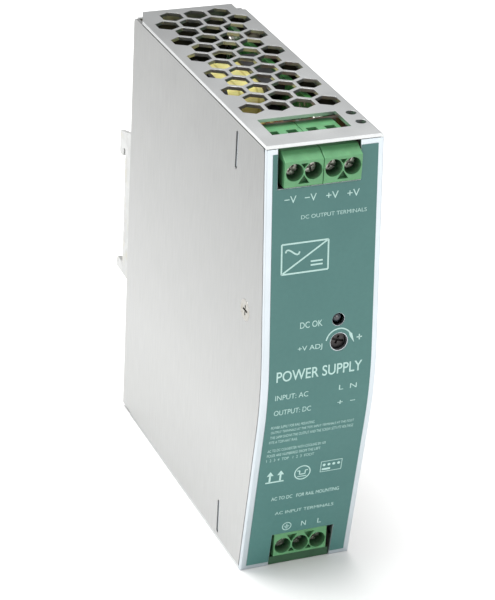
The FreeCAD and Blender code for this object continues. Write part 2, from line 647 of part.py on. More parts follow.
def wire_clamp(x):
    """Box clamp that the screw draws forward to trap the wire against the busbar."""
    front = CLAMP_BACK - CLAMP_LENGTH
    body = box((x - CLAMP_HALF_WIDTH, x + CLAMP_HALF_WIDTH), (front, CLAMP_BACK), (CLAMP_BOTTOM, CLAMP_TOP))
    body = body.makeFillet(0.3, edges_along(body, Z_AXIS, lambda c: True))
    window = box((x - 1.25, x + 1.25), (front + CLAMP_FRONT_WALL, CLAMP_BACK - CLAMP_WALL),
                 (CLAMP_BOTTOM - 1, CLAMP_TOP + 1))
    thread = rod(SHANK_RADIUS + RUNNING_GAP, (x, front - 1, SCREW_AXIS), (x, front + 3, SCREW_AXIS))
    return cut(body, [window, thread])


def busbar(x):
    """Bent contact: an upright plate inside the clamp and a tail that solders to the board."""
    back = BUSBAR_FRONT + BUSBAR_THICKNESS
    plate = box((x - 1.15, x + 1.15), (BUSBAR_FRONT, back), (0.25, POCKET_TOP - 0.1))
    foot = box((x - 1.15, x + 1.15), (BUSBAR_FRONT, POCKET_BACK - 0.4), (0.25, 1.05))
    tail = box((x - 0.6, x + 0.6), (BUSBAR_FRONT, BLOCK_DEPTH + BOARD_THICKNESS + 1.4), (0.25, 1.05))
    return fuse([plate, foot, tail])


def place_output(shape, centre=0.0):
    """Move a piece of the output block into the case."""
    placed = shape.copy()
    placed.translate(Vector(across(OUTPUT_CENTRE) + centre, behind(OUTPUT_FACE), below(OUTPUT_BASE_DROP)))
    return placed


def place_input(shape):
    """Turn a piece of the input block upside down and move it into the case."""
    placed = shape.copy()
    placed.rotate(Vector(0, 0, 0), Y_AXIS, 180)
    placed.translate(Vector(across(INPUT_CENTRE), behind(INPUT_FACE), below(INPUT_BASE_DROP)))
    return placed


# ---------------------------------------------------------------- boards

MAIN_FRONT = 25.0
MAIN_BACK = 91.5
MAIN_TOP_DROP = 4.5
MAIN_BOTTOM_DROP = 120.7
FRONT_BOARD_HALF = 13.3
OUTPUT_BOARD_DROPS = (2.6, 46.0)
INPUT_BOARD_DROPS = (94.0, 123.0)
INDICATOR_BOARD_X = (across(13.5), across(28.0))
INDICATOR_BOARD_DROPS = (42.0, 64.0)
LINK_ROW_DROP = 44.0
LINK_ROW_X = [across(16.5 + 2.54 * pin) for pin in range(4)]
OUTPUT_LINK_DROPS = [34.0 + 2.54 * pin for pin in range(4)]
INPUT_LINK_DROPS = [99.0 + 3.96 * pin for pin in range(3)]
LINK_X = BOARD_FACE - 2.0
LINK_DEPTH = 27.6
STANDOFF_PLACES = [(depth, drop) for depth in (28.8, 87.5) for drop in (8.3, 117.0)]
STANDOFF_RADIUS = 2.5
BOARD_SCREW_RADIUS = 1.2


def make_main_board():
    """Board along the right wall that carries the power components."""
    board = box((BOARD_FACE, BOARD_FACE + BOARD_THICKNESS), (behind(MAIN_FRONT), behind(MAIN_BACK)),
                (below(MAIN_BOTTOM_DROP), below(MAIN_TOP_DROP)))
    x = (BOARD_FACE - 1, BOARD_FACE + BOARD_THICKNESS + 1)
    holes = []
    for depth, drop in STANDOFF_PLACES:
        holes.append(rod(BOARD_SCREW_RADIUS + 0.1, (x[0], behind(depth), below(drop)),
                         (x[1], behind(depth), below(drop))))
    for drop in OUTPUT_LINK_DROPS + INPUT_LINK_DROPS:
        holes.append(rod(PIN_HOLE, (x[0], behind(LINK_DEPTH), below(drop)),
                         (x[1], behind(LINK_DEPTH), below(drop))))
    return cut(board, holes)


def front_board(x, depth, drops, holes):
    """Upright board across the case with round (x, drop, radius) holes."""
    y = (behind(depth), behind(depth) + BOARD_THICKNESS)
    board = box(x, y, (below(drops[1]), below(drops[0])))
    tools = [rod(radius, (hole_x, y[0] - 1, below(drop)), (hole_x, y[1] + 1, below(drop)))
             for hole_x, drop, radius in holes]
    return cut(board, tools)


def make_output_board():
    """Board that the output terminals solder to."""
    tail_drop = OUTPUT_BASE_DROP - 0.65
    holes = [(across(OUTPUT_CENTRE) + x, tail_drop, 0.75) for x in output_centres()]
    holes += [(x, LINK_ROW_DROP, PIN_HOLE) for x in LINK_ROW_X]
    holes += [(LINK_X, drop, PIN_HOLE) for drop in OUTPUT_LINK_DROPS]
    return front_board((-FRONT_BOARD_HALF, FRONT_BOARD_HALF), OUTPUT_BOARD_DEPTH, OUTPUT_BOARD_DROPS, holes)


def make_input_board():
    """Board that the input terminals solder to."""
    tail_drop = INPUT_BASE_DROP + 0.65
    holes = [(across(INPUT_CENTRE) + x, tail_drop, 0.75) for x in pole_centres(INPUT_POLES)]
    holes += [(LINK_X, drop, PIN_HOLE) for drop in INPUT_LINK_DROPS]
    return front_board((-FRONT_BOARD_HALF, FRONT_BOARD_HALF), INPUT_BOARD_DEPTH, INPUT_BOARD_DROPS, holes)


def make_indicator_board():
    """Small board behind the front that carries the indicator and the adjuster."""
    holes = [(x, LINK_ROW_DROP, PIN_HOLE) for x in LINK_ROW_X]
    holes += [(across(LED_ACROSS) + side * 1.27, LED_DROP, 0.35) for side in (-1, 1)]
    return front_board(INDICATOR_BOARD_X, INDICATOR_BOARD_DEPTH, INDICATOR_BOARD_DROPS, holes)


def make_insulation():
    """Folded plastic film that lines the right and back walls."""
    inside_right, inside_back = X_RIGHT - SHEET, Y_REAR - SHEET
    z = (below(122.2), below(3.0))
    film = fuse([box((inside_right - INSULATION, inside_right), (behind(23.5), inside_back), z),
                 box((X_LEFT + SHEET + 0.5, inside_right), (inside_back - INSULATION, inside_back), z)])
    holes = [rod(STANDOFF_RADIUS + 0.1, (BOARD_FACE, behind(depth), below(drop)),
                 (X_RIGHT, behind(depth), below(drop))) for depth, drop in STANDOFF_PLACES]
    holes += [rod(RIVET_TAIL + 0.3, (x, inside_back - 2, z_rivet), (x, Y_REAR, z_rivet))
              for x, z_rivet in REAR_RIVETS]
    return cut(film, holes)


def make_standoff(depth, drop):
    """Threaded spacer between the right wall and the main board."""
    start = (BOARD_FACE + BOARD_THICKNESS, behind(depth), below(drop))
    end = (X_RIGHT - SHEET, behind(depth), below(drop))
    return rod(STANDOFF_RADIUS, start, end).cut(rod(BOARD_SCREW_RADIUS + 0.03, start, end))


def make_board_screw(depth, drop):
    """Pan-head screw through the main board into a spacer."""
    y, z = behind(depth), below(drop)
    head = rod(2.2, (BOARD_FACE - 1.7, y, z), (BOARD_FACE, y, z))
    head = head.makeFillet(0.7, [edge for edge in head.Edges if edge.CenterOfMass.x < BOARD_FACE - 1.6
                                 and len(edge.Vertexes) == 1])
    shank = rod(BOARD_SCREW_RADIUS, (BOARD_FACE, y, z), (X_RIGHT - SHEET - 0.4, y, z))
    x = (BOARD_FACE - 3, BOARD_FACE - 0.8)
    recess = [box(x, (y - 1.2, y + 1.2), (z - 0.25, z + 0.25)),
              box(x, (y - 0.25, y + 0.25), (z - 1.2, z + 1.2))]
    return cut(fuse([head, shank]), recess)


def elbow_pin(board_depth, drop):
    """Square pin from an upright board back to the main board."""
    z = (below(drop) - PIN_HALF, below(drop) + PIN_HALF)
    y_start = behind(board_depth) - 0.8
    run = box((LINK_X - PIN_HALF, LINK_X + PIN_HALF), (y_start, behind(LINK_DEPTH) + PIN_HALF), z)
    turn = box((LINK_X - PIN_HALF, BOARD_FACE + BOARD_THICKNESS + 1.0),
               (behind(LINK_DEPTH) - PIN_HALF, behind(LINK_DEPTH) + PIN_HALF), z)
    return fuse([run, turn])


def make_indicator_pins():
    """Straight pins between the two front boards, and the indicator's two legs."""
    y = (behind(INDICATOR_BOARD_DEPTH) - 0.8, behind(OUTPUT_BOARD_DEPTH) + BOARD_THICKNESS + 1.0)
    z = (below(LINK_ROW_DROP) - PIN_HALF, below(LINK_ROW_DROP) + PIN_HALF)
    pins = [box((x - PIN_HALF, x + PIN_HALF), y, z) for x in LINK_ROW_X]
    led_base = front_y(below(LED_DROP)) + 5.1
    leg_end = behind(INDICATOR_BOARD_DEPTH) + BOARD_THICKNESS + 1.0
    for side in (-1, 1):
        x = across(LED_ACROSS) + side * 1.27
        pins.append(rod(0.25, (x, led_base, below(LED_DROP)), (x, leg_end, below(LED_DROP))))
    return group(pins)


def make_status_led():
    """Round indicator lamp whose dome shows in the front panel."""
    x, z = across(LED_ACROSS), below(LED_DROP)
    tip = front_y(z) + LED_SUNK
    base = front_y(z) + 5.1
    dome = Part.makeSphere(LED_RADIUS, Vector(x, tip + LED_RADIUS, z))
    barrel = rod(LED_RADIUS, (x, tip + LED_RADIUS, z), (x, base, z))
    rim = rod(1.9, (x, base - 1.0, z), (x, base, z))
    return fuse([dome, barrel, rim])


def trimmer_front():
    """Y of the front of the adjuster's body, just behind the panel."""
    return front_y(below(TRIM_DROP)) + SHEET + 0.4


def make_trimmer_body():
    """Square body of the voltage adjuster, with a bore for its rotor."""
    x, z = across(TRIM_ACROSS), below(TRIM_DROP)
    half = TRIM_BODY / 2
    y = (trimmer_front(), behind(INDICATOR_BOARD_DEPTH))
    body = box((x - half, x + half), y, (z - half, z + half))
    body = body.makeFillet(0.3, edges_along(body, Y_AXIS, lambda c: True))
    return body.cut(rod(ROTOR_RADIUS + RUNNING_GAP, (x, y[0] - 1, z), (x, y[0] + 3.0, z)))


def make_trimmer_rotor():
    """Slotted rotor that a small screwdriver turns through the front."""
    x, z = across(TRIM_ACROSS), below(TRIM_DROP)
    face = front_y(z) + ROTOR_DEPTH
    rotor = rod(ROTOR_RADIUS, (x, face, z), (x, trimmer_front() + 2.95, z))
    slots = [box((x - 3, x + 3), (face - 1, face + 0.8), (z - 0.3, z + 0.3)),
             box((x - 0.3, x + 0.3), (face - 1, face + 0.8), (z - 1.2, z + 1.2))]
    for slot in slots:
        slot.rotate(Vector(x, 0, z), Y_AXIS, 20)
    return cut(rotor, slots)


# ---------------------------------------------------------------- components
# Each is made standing on z = 0, then set on the main board by on_board.

TRANSFORMER = (61.0, 20.6)
CORE_HALF_LENGTH = 18.0
CORE_HALF_THICKNESS = 7.0
CORE_HEIGHT = 22.0
CORE_LIFT = 0.5
CORE_LEG = 4.5
CENTRE_LEG = 5.5
BOBBIN_WALL = 1.1


def rounded_block(half_x, half_y, z, radius):
    """Upright block with rounded upright edges."""
    block = box((-half_x, half_x), (-half_y, half_y), z)
    return block.makeFillet(radius, edges_along(block, Z_AXIS, lambda c: True))


def make_transformer_core():
    """Two E-shaped ferrite halves that meet round the bobbin."""
    core = box((-CORE_HALF_THICKNESS, CORE_HALF_THICKNESS), (-CORE_HALF_LENGTH, CORE_HALF_LENGTH),
               (CORE_LIFT, CORE_LIFT + CORE_HEIGHT))
    windows = []
    for side in (-1, 1):
        windows.append(box((-CORE_HALF_THICKNESS - 1, CORE_HALF_THICKNESS + 1),
                           (side * CENTRE_LEG, side * (CORE_HALF_LENGTH - CORE_LEG)),
                           (CORE_LIFT + CORE_LEG, CORE_LIFT + CORE_HEIGHT - CORE_LEG)))
    return on_board(cut(core, windows), *TRANSFORMER)


def make_transformer_bobbin():
    """Moulded former on the centre leg, with a pin base that stands on the board."""
    z = (CORE_LIFT + CORE_LEG, CORE_LIFT + CORE_HEIGHT - CORE_LEG)
    hub = box((-CORE_HALF_THICKNESS - BOBBIN_WALL, CORE_HALF_THICKNESS + BOBBIN_WALL),
              (-CENTRE_LEG - BOBBIN_WALL, CENTRE_LEG + BOBBIN_WALL), z)
    flange_low = rounded_block(15.0, 13.0, (z[0], z[0] + BOBBIN_WALL), 3.0)
    flange_high = rounded_block(15.0, 13.0, (z[1] - BOBBIN_WALL, z[1]), 3.0)
    pieces = [hub, flange_low, flange_high]
    for side in (-1, 1):
        pieces.append(box((side * 11.5, side * 15.0), (-11.0, 11.0), (0, z[0])))
    bore = box((-CORE_HALF_THICKNESS, CORE_HALF_THICKNESS), (-CENTRE_LEG, CENTRE_LEG), (z[0] - 1, z[1] + 1))
    return on_board(fuse(pieces).cut(bore), *TRANSFORMER)


def make_transformer_tape():
    """Taped winding between the bobbin's flanges."""
    z = (CORE_LIFT + CORE_LEG + BOBBIN_WALL, CORE_LIFT + CORE_HEIGHT - CORE_LEG - BOBBIN_WALL)
    winding = rounded_block(14.3, 12.4, z, 5.0)
    bore = box((-CORE_HALF_THICKNESS - BOBBIN_WALL, CORE_HALF_THICKNESS + BOBBIN_WALL),
               (-CENTRE_LEG - BOBBIN_WALL, CENTRE_LEG + BOBBIN_WALL), (z[0] - 1, z[1] + 1))
    return on_board(winding.cut(bore), *TRANSFORMER)


def can_capacitor(radius, height):
    """Electrolytic can with a rolled groove near its base and a scored top."""
    can = rod(radius, (0, 0, 0), (0, 0, height))
    can = can.makeFillet(0.6, [edge for edge in can.Edges if len(edge.Vertexes) == 1])
    groove = Part.makeTorus(radius + 0.35, 0.7, Vector(0, 0, 2.2), Z_AXIS)
    scores = [box((-radius * 0.6, radius * 0.6), (-0.15, 0.15), (height - 0.25, height + 1)),
              box((-0.15, 0.15), (-radius * 0.6, radius * 0.6), (height - 0.25, height + 1))]
    return cut(can, [groove] + scores)


def make_bulk_capacitor():
    """Large high-voltage capacitor that lies along the board."""
    radius = 11.0
    can = can_capacitor(radius, 40.0)
    can.rotate(Vector(0, 0, 0), Y_AXIS, 90)
    can.translate(Vector(-20.0, 0, radius))
    return on_board(can, 77.0, 82.0)


OUTPUT_CAPACITORS = [(31.5, 53.5), (43.0, 53.5), (54.5, 53.5)]


def make_output_capacitors():
    """Row of upright output capacitors."""
    return group([on_board(can_capacitor(5.0, 20.0), depth, drop) for depth, drop in OUTPUT_CAPACITORS])


TOROID = (37.0, 20.5)
TOROID_OUTER = 10.4
TOROID_INNER = 5.2
TOROID_HALF_WIDTH = 4.6
TOROID_WIRE = 1.1
TOROID_TURNS = 22


def toroid_centre():
    """Centre of the upright ring choke, above the board."""
    return Vector(0, 0, TOROID_OUTER + TOROID_WIRE + 0.1)


def make_ring():
    """Plain ring, on edge, before it is set on the board."""
    centre = toroid_centre()
    start = (centre.x, -TOROID_HALF_WIDTH, centre.z)
    end = (centre.x, TOROID_HALF_WIDTH, centre.z)
    return rod(TOROID_OUTER, start, end).cut(rod(TOROID_INNER, start, end))


def make_inductor_core():
    """Powder-iron ring that stands on edge on the board."""
    return on_board(make_ring(), *TOROID)


def make_inductor_winding():
    """Turns of thick wire round the ring, with a gap at the board."""
    centre = toroid_centre()
    turns = []
    for index in range(TOROID_TURNS):
        angle = -150.0 + 300.0 * index / (TOROID_TURNS - 1)
        low, high = TOROID_INNER, TOROID_OUTER
        outer = box((-TOROID_WIRE / 2, TOROID_WIRE / 2),
                    (-TOROID_HALF_WIDTH - TOROID_WIRE, TOROID_HALF_WIDTH + TOROID_WIRE),
                    (low - TOROID_WIRE, high + TOROID_WIRE))
        outer = outer.makeFillet(0.9, edges_along(outer, X_AXIS, lambda c: True))
        inner = box((-1, 1), (-TOROID_HALF_WIDTH, TOROID_HALF_WIDTH), (low, high))
        turn = outer.cut(inner)
        turn.rotate(Vector(0, 0, 0), Y_AXIS, angle)
        turn.translate(centre)
        turns.append(turn.cut(make_ring()))
    return on_board(fuse(turns), *TOROID)


CHOKE = (45.0, 88.5)


def make_choke_core():
    """Closed rectangular ferrite frame of the mains filter choke."""
    frame = box((-9.0, 9.0), (-9.5, 9.5), (5.0, 10.0))
    return on_board(frame.cut(box((-5.0, 5.0), (-5.5, 5.5), (4.0, 11.0))), *CHOKE)


def make_choke_windings():
    """Two coils on opposite legs of the choke's frame, standing on the board."""
    coils = []
    for side in (-1, 1):
        centre = side * 7.0
        coil = box((centre - 4.2, centre + 4.2), (-4.8, 4.8), (0, 14.8))
        coil = coil.makeFillet(2.0, edges_along(coil, Y_AXIS, lambda c: c.z > 1))
        leg = box((centre - 2.0, centre + 2.0), (-6.0, 6.0), (5.0, 10.0))
        coils.append(on_board(coil.cut(leg), *CHOKE))
    return group(coils)


def film_box(half_x, half_y, height):
    """Moulded box capacitor."""
    case = box((-half_x, half_x), (-half_y, half_y), (0, height))
    return case.makeFillet(0.5, edges_along(case, Z_AXIS, lambda c: True))


def upright_disc(radius, thickness):
    """Coated disc on two short legs."""
    centre = radius + 2.2
    disc = rod(radius, (0, -thickness / 2, centre), (0, thickness / 2, centre))
    disc = disc.makeFillet(thickness * 0.4, [edge for edge in disc.Edges if len(edge.Vertexes) == 1])
    legs = [rod(0.4, (x, 0, 0), (x, 0, centre)) for x in (-2.5, 2.5)]
    return fuse([disc] + legs)


def make_fuse():
    """Cylindrical fuse lying on the board, with a cap at each end."""
    body = rod(2.4, (-9.0, 0, 3.2), (9.0, 0, 3.2))
    caps = [rod(2.7, (side * 10.5, 0, 3.2), (side * 6.0, 0, 3.2)) for side in (-1, 1)]
    legs = [rod(0.4, (side * 9.5, 0, 0), (side * 9.5, 0, 3.2)) for side in (-1, 1)]
    return on_board(fuse([body] + caps + legs), 31.5, 103.0)


def make_bridge_rectifier():
    """Flat rectifier package on four legs."""
    body = box((-7.5, 7.5), (-1.8, 1.8), (3.0, 14.0))
    legs = [box((x - 0.5, x + 0.5), (-0.3, 0.3), (0, 3.0)) for x in (-5.7, -1.9, 1.9, 5.7)]
    return on_board(fuse([body] + legs), 60.0, 112.0)


HEATSINKS = [(64.5, 50.5), (60.5, 78.0)]
SINK_HALF = 11.0
SINK_HEIGHT = 22.0
SINK_THICKNESS = 2.0


def make_heatsink(depth, drop):
    """Upright aluminium plate with a folded top edge."""
    plate = box((-SINK_HALF, SINK_HALF), (0, SINK_THICKNESS), (0, SINK_HEIGHT))
    fold = box((-SINK_HALF, SINK_HALF), (0, 7.0), (SINK_HEIGHT - SINK_THICKNESS, SINK_HEIGHT))
    hole = rod(1.6, (0, -1, 15.5), (0, 3, 15.5))
    return on_board(fuse([plate, fold]).cut(hole), depth, drop)


def make_power_device(depth, drop):
    """Power transistor or diode bolted flat against its plate."""
    body = box((-5.0, 5.0), (-4.6, -0.4), (3.4, 12.6))
    tab = box((-5.0, 5.0), (-1.4, 0), (3.4, 18.6))
    legs = [box((x - 0.4, x + 0.4), (-2.9, -2.3), (0, 3.4)) for x in (-2.54, 0, 2.54)]
    bolt = rod(1.5, (0, -1.4, 15.5), (0, SINK_THICKNESS, 15.5))
    bolt_head = rod(2.7, (0, -3.2, 15.5), (0, -1.4, 15.5))
    return on_board(fuse([body, tab, bolt, bolt_head] + legs), depth, drop)


def chip(half_x, half_y, height):
    """Dual-in-line package with a row of legs down each side."""
    body = box((-half_x, half_x), (-half_y, half_y), (0.6, height))
    legs = []
    count = int(half_x * 2 / 2.54)
    for index in range(count):
        x = (index - (count - 1) / 2) * 2.54
        for side in (-1, 1):
            legs.append(box((x - 0.3, x + 0.3), (side * half_y, side * (half_y + 0.5)), (0, 2.0)))
    return fuse([body] + legs)


def make_control_chips():
    """Controller and optocoupler between the input and output sides."""
    return group([on_board(chip(4.9, 3.2, 3.6), 34.0, 71.0), on_board(chip(2.4, 3.2, 3.6), 46.0, 69.0)])


# ---------------------------------------------------------------- all nodes

def build_nodes():
    """Every sub-part by its node name."""
    nodes = {
        "chassis": make_chassis(),
        "side_cover": make_side_cover(),
        "front_panel": make_front_panel(),
        "front_label": make_front_label(),
        "case_screws": group([make_case_screw(side) for side in (-1, 1)]),
        "rail_bracket": make_rail_bracket(),
        "bracket_rivets": group([make_rivet(x, z) for x, z in REAR_RIVETS]),
        "rail_latch": make_rail_latch(),
        "latch_spring": make_latch_spring(),
        "latch_studs": group([make_latch_stud(side) for side in (-1, 1)]),
    }
    for name, side in (("left", -1), ("right", 1)):
        nodes["output_terminal_" + name] = place_output(block_housing(MODULE_POLES), side * MODULE_SHIFT)
    for index, x in enumerate(output_centres()):
        nodes["output_screw_%d" % (index + 1)] = place_output(clamp_screw(x, OUTPUT_SLOT_ANGLES[index]))
        nodes["output_clamp_%d" % (index + 1)] = place_output(wire_clamp(x))
    nodes["output_busbars"] = group([place_output(busbar(x)) for x in output_centres()])
    nodes["input_terminal"] = place_input(block_housing(INPUT_POLES))
    input_x = pole_centres(INPUT_POLES)[::-1]
    for index, x in enumerate(input_x):
        nodes["input_screw_%d" % (index + 1)] = place_input(clamp_screw(x, INPUT_SLOT_ANGLES[index]))
        nodes["input_clamp_%d" % (index + 1)] = place_input(wire_clamp(x))
    nodes["input_busbars"] = group([place_input(busbar(x)) for x in input_x])
    nodes.update({
        "main_board": make_main_board(),
        "output_board": make_output_board(),
        "input_board": make_input_board(),
        "indicator_board": make_indicator_board(),
        "insulation_sheet": make_insulation(),
        "board_standoffs": group([make_standoff(*place) for place in STANDOFF_PLACES]),
        "board_screws": group([make_board_screw(*place) for place in STANDOFF_PLACES]),
        "output_link_pins": group([elbow_pin(OUTPUT_BOARD_DEPTH, drop) for drop in OUTPUT_LINK_DROPS]),
        "input_link_pins": group([elbow_pin(INPUT_BOARD_DEPTH, drop) for drop in INPUT_LINK_DROPS]),
        "indicator_pins": make_indicator_pins(),
        "status_led": make_status_led(),
        "trimmer_body": make_trimmer_body(),
        "trimmer_rotor": make_trimmer_rotor(),
        "transformer_core": make_transformer_core(),
        "transformer_bobbin": make_transformer_bobbin(),
        "transformer_tape": make_transformer_tape(),
        "bulk_capacitor": make_bulk_capacitor(),
        "output_capacitors": make_output_capacitors(),
        "inductor_core": make_inductor_core(),
        "inductor_winding": make_inductor_winding(),
        "choke_core": make_choke_core(),
        "choke_windings": make_choke_windings(),
        "x_capacitor": on_board(film_box(9.0, 4.5, 15.0), 48.5, 110.0),
        "y_capacitors": group([on_board(upright_disc(4.2, 3.0), depth, 52.0) for depth in (79.5, 86.5)]),
        "fuse": make_fuse(),
        "inrush_thermistor": on_board(upright_disc(5.5, 4.4), 72.0, 111.0),
        "surge_varistor": on_board(upright_disc(5.5, 4.4), 80.0, 111.0),
        "bridge_rectifier": make_bridge_rectifier(),
        "heatsinks": group([make_heatsink(depth, drop) for depth, drop in HEATSINKS]),
        "power_devices": group([make_power_device(depth, drop) for depth, drop in HEATSINKS]),
        "control_chips": make_control_chips(),
    })
    return nodes


def main():
    os.makedirs("parts", exist_ok=True)
    for name, shape in build_nodes().items():
        shape.exportStep("parts/%s.step" % name)


main()
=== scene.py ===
import json
import math
import random

import bmesh
import bpy
from mathutils import Matrix, Vector
from mathutils.bvhtree import BVHTree


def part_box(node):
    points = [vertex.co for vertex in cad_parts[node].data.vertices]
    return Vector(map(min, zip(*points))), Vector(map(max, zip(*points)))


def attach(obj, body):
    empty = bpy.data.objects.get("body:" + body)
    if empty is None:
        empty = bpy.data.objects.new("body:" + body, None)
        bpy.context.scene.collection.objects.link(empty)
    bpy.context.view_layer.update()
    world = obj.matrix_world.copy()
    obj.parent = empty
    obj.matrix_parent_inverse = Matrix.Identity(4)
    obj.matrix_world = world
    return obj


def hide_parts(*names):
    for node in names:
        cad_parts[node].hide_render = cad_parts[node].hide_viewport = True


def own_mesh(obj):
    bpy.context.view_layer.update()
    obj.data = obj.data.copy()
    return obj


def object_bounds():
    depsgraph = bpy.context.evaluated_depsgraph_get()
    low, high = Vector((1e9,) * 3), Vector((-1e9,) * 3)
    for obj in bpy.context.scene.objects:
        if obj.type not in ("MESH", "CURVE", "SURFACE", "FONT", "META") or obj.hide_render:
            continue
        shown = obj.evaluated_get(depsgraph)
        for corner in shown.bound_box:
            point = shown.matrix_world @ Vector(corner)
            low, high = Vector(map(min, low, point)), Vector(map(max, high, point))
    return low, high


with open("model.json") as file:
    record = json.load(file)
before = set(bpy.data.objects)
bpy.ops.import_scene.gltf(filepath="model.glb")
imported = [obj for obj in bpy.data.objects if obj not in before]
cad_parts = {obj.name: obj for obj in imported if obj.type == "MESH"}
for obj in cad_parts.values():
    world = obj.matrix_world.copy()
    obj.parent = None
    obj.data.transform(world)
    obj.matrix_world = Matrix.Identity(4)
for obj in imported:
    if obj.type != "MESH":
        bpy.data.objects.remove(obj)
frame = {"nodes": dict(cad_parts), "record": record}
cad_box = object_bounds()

# A DIN-rail power supply: materials for the CAD parts, printed markings, wound wire, board
# components, a pale floor, soft lights and the camera. Lengths are in metres unless a name
# or comment says millimetres.

MM = 0.001
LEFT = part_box("side_cover")[0].x           # left side of the case
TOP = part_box("chassis")[1].z               # top of the case
FLOOR = cad_box[0].z

CAMERA_PLACE = Vector((-0.23468, -0.59613, 0.29533))
CAMERA_AZIMUTH = 23.52                     # degrees
CAMERA_ELEVATION = 27.05
CAMERA_ROLL = 3.16
CAMERA_LENS = 144.32                       # millimetres
CAMERA_SENSOR = 36.0                       # millimetres
CAMERA_NEAR = 0.01

WORLD_STRENGTH = 0.70
LIGHTS = [("key", (-0.3, 0.35, 1.9), 1.2, 40),            # name, place, side of the square, watts
          ("fill_front", (0.3, -1.7, 0.2), 1.1, 9),
          ("fill_left", (-1.6, 0.3, 0.25), 0.9, 7)]
FLOOR_SIZE = 12.0
FLOOR_SHIFT = 2.0                          # floor centre behind the case

INK_RISE = 0.03 * MM                       # print above the film
INK_DEPTH = 0.02 * MM                      # print below the film's surface
HALF_SHAPE = 0.5                           # half the thickness of a flat shape before it is laid on the film

WELL_UNSHADED = 6.8 * MM                      # from a terminal block's base: no painted shade in a well past here
WELL_FULL_SHADE = 6.3 * MM                       # and full painted shade in each well up to here
SKIRT_OUTLINE = [(0.35, 1.5), (3.4, -0.02), (5.6, -0.02)]  # mm behind the block's face, above its low side
SKIRT_CLEARANCE = 0.06 * MM                # skirt above the floor
SKIRT_PAST_BLOCK = (1.1 * MM, 0.9 * MM)    # left and right

# Pieces that stand on or near the main board's component face.
INSIDE_BOARD = ["board_screws", "output_link_pins", "input_link_pins", "output_board", "input_board",
                "transformer_core", "transformer_bobbin", "transformer_tape", "bulk_capacitor",
                "output_capacitors", "inductor_core", "inductor_winding", "choke_core", "choke_windings",
                "x_capacitor", "y_capacitors", "fuse", "inrush_thermistor", "surge_varistor",
                "bridge_rectifier", "heatsinks", "power_devices", "control_chips"]

random.seed(7)


# ---------------------------------------------------------------- colour and node helpers

def rgb(red, green, blue):
    """Linear colour from three 0-255 display values."""
    linear = []
    for value in (red, green, blue):
        share = value / 255
        linear.append(share / 12.92 if share <= 0.04045 else ((share + 0.055) / 1.055) ** 2.4)
    return (*linear, 1.0)


def scaled(colour, factor):
    """The same colour, lighter or darker."""
    return (*[min(1.0, part * factor) for part in colour[:3]], 1.0)


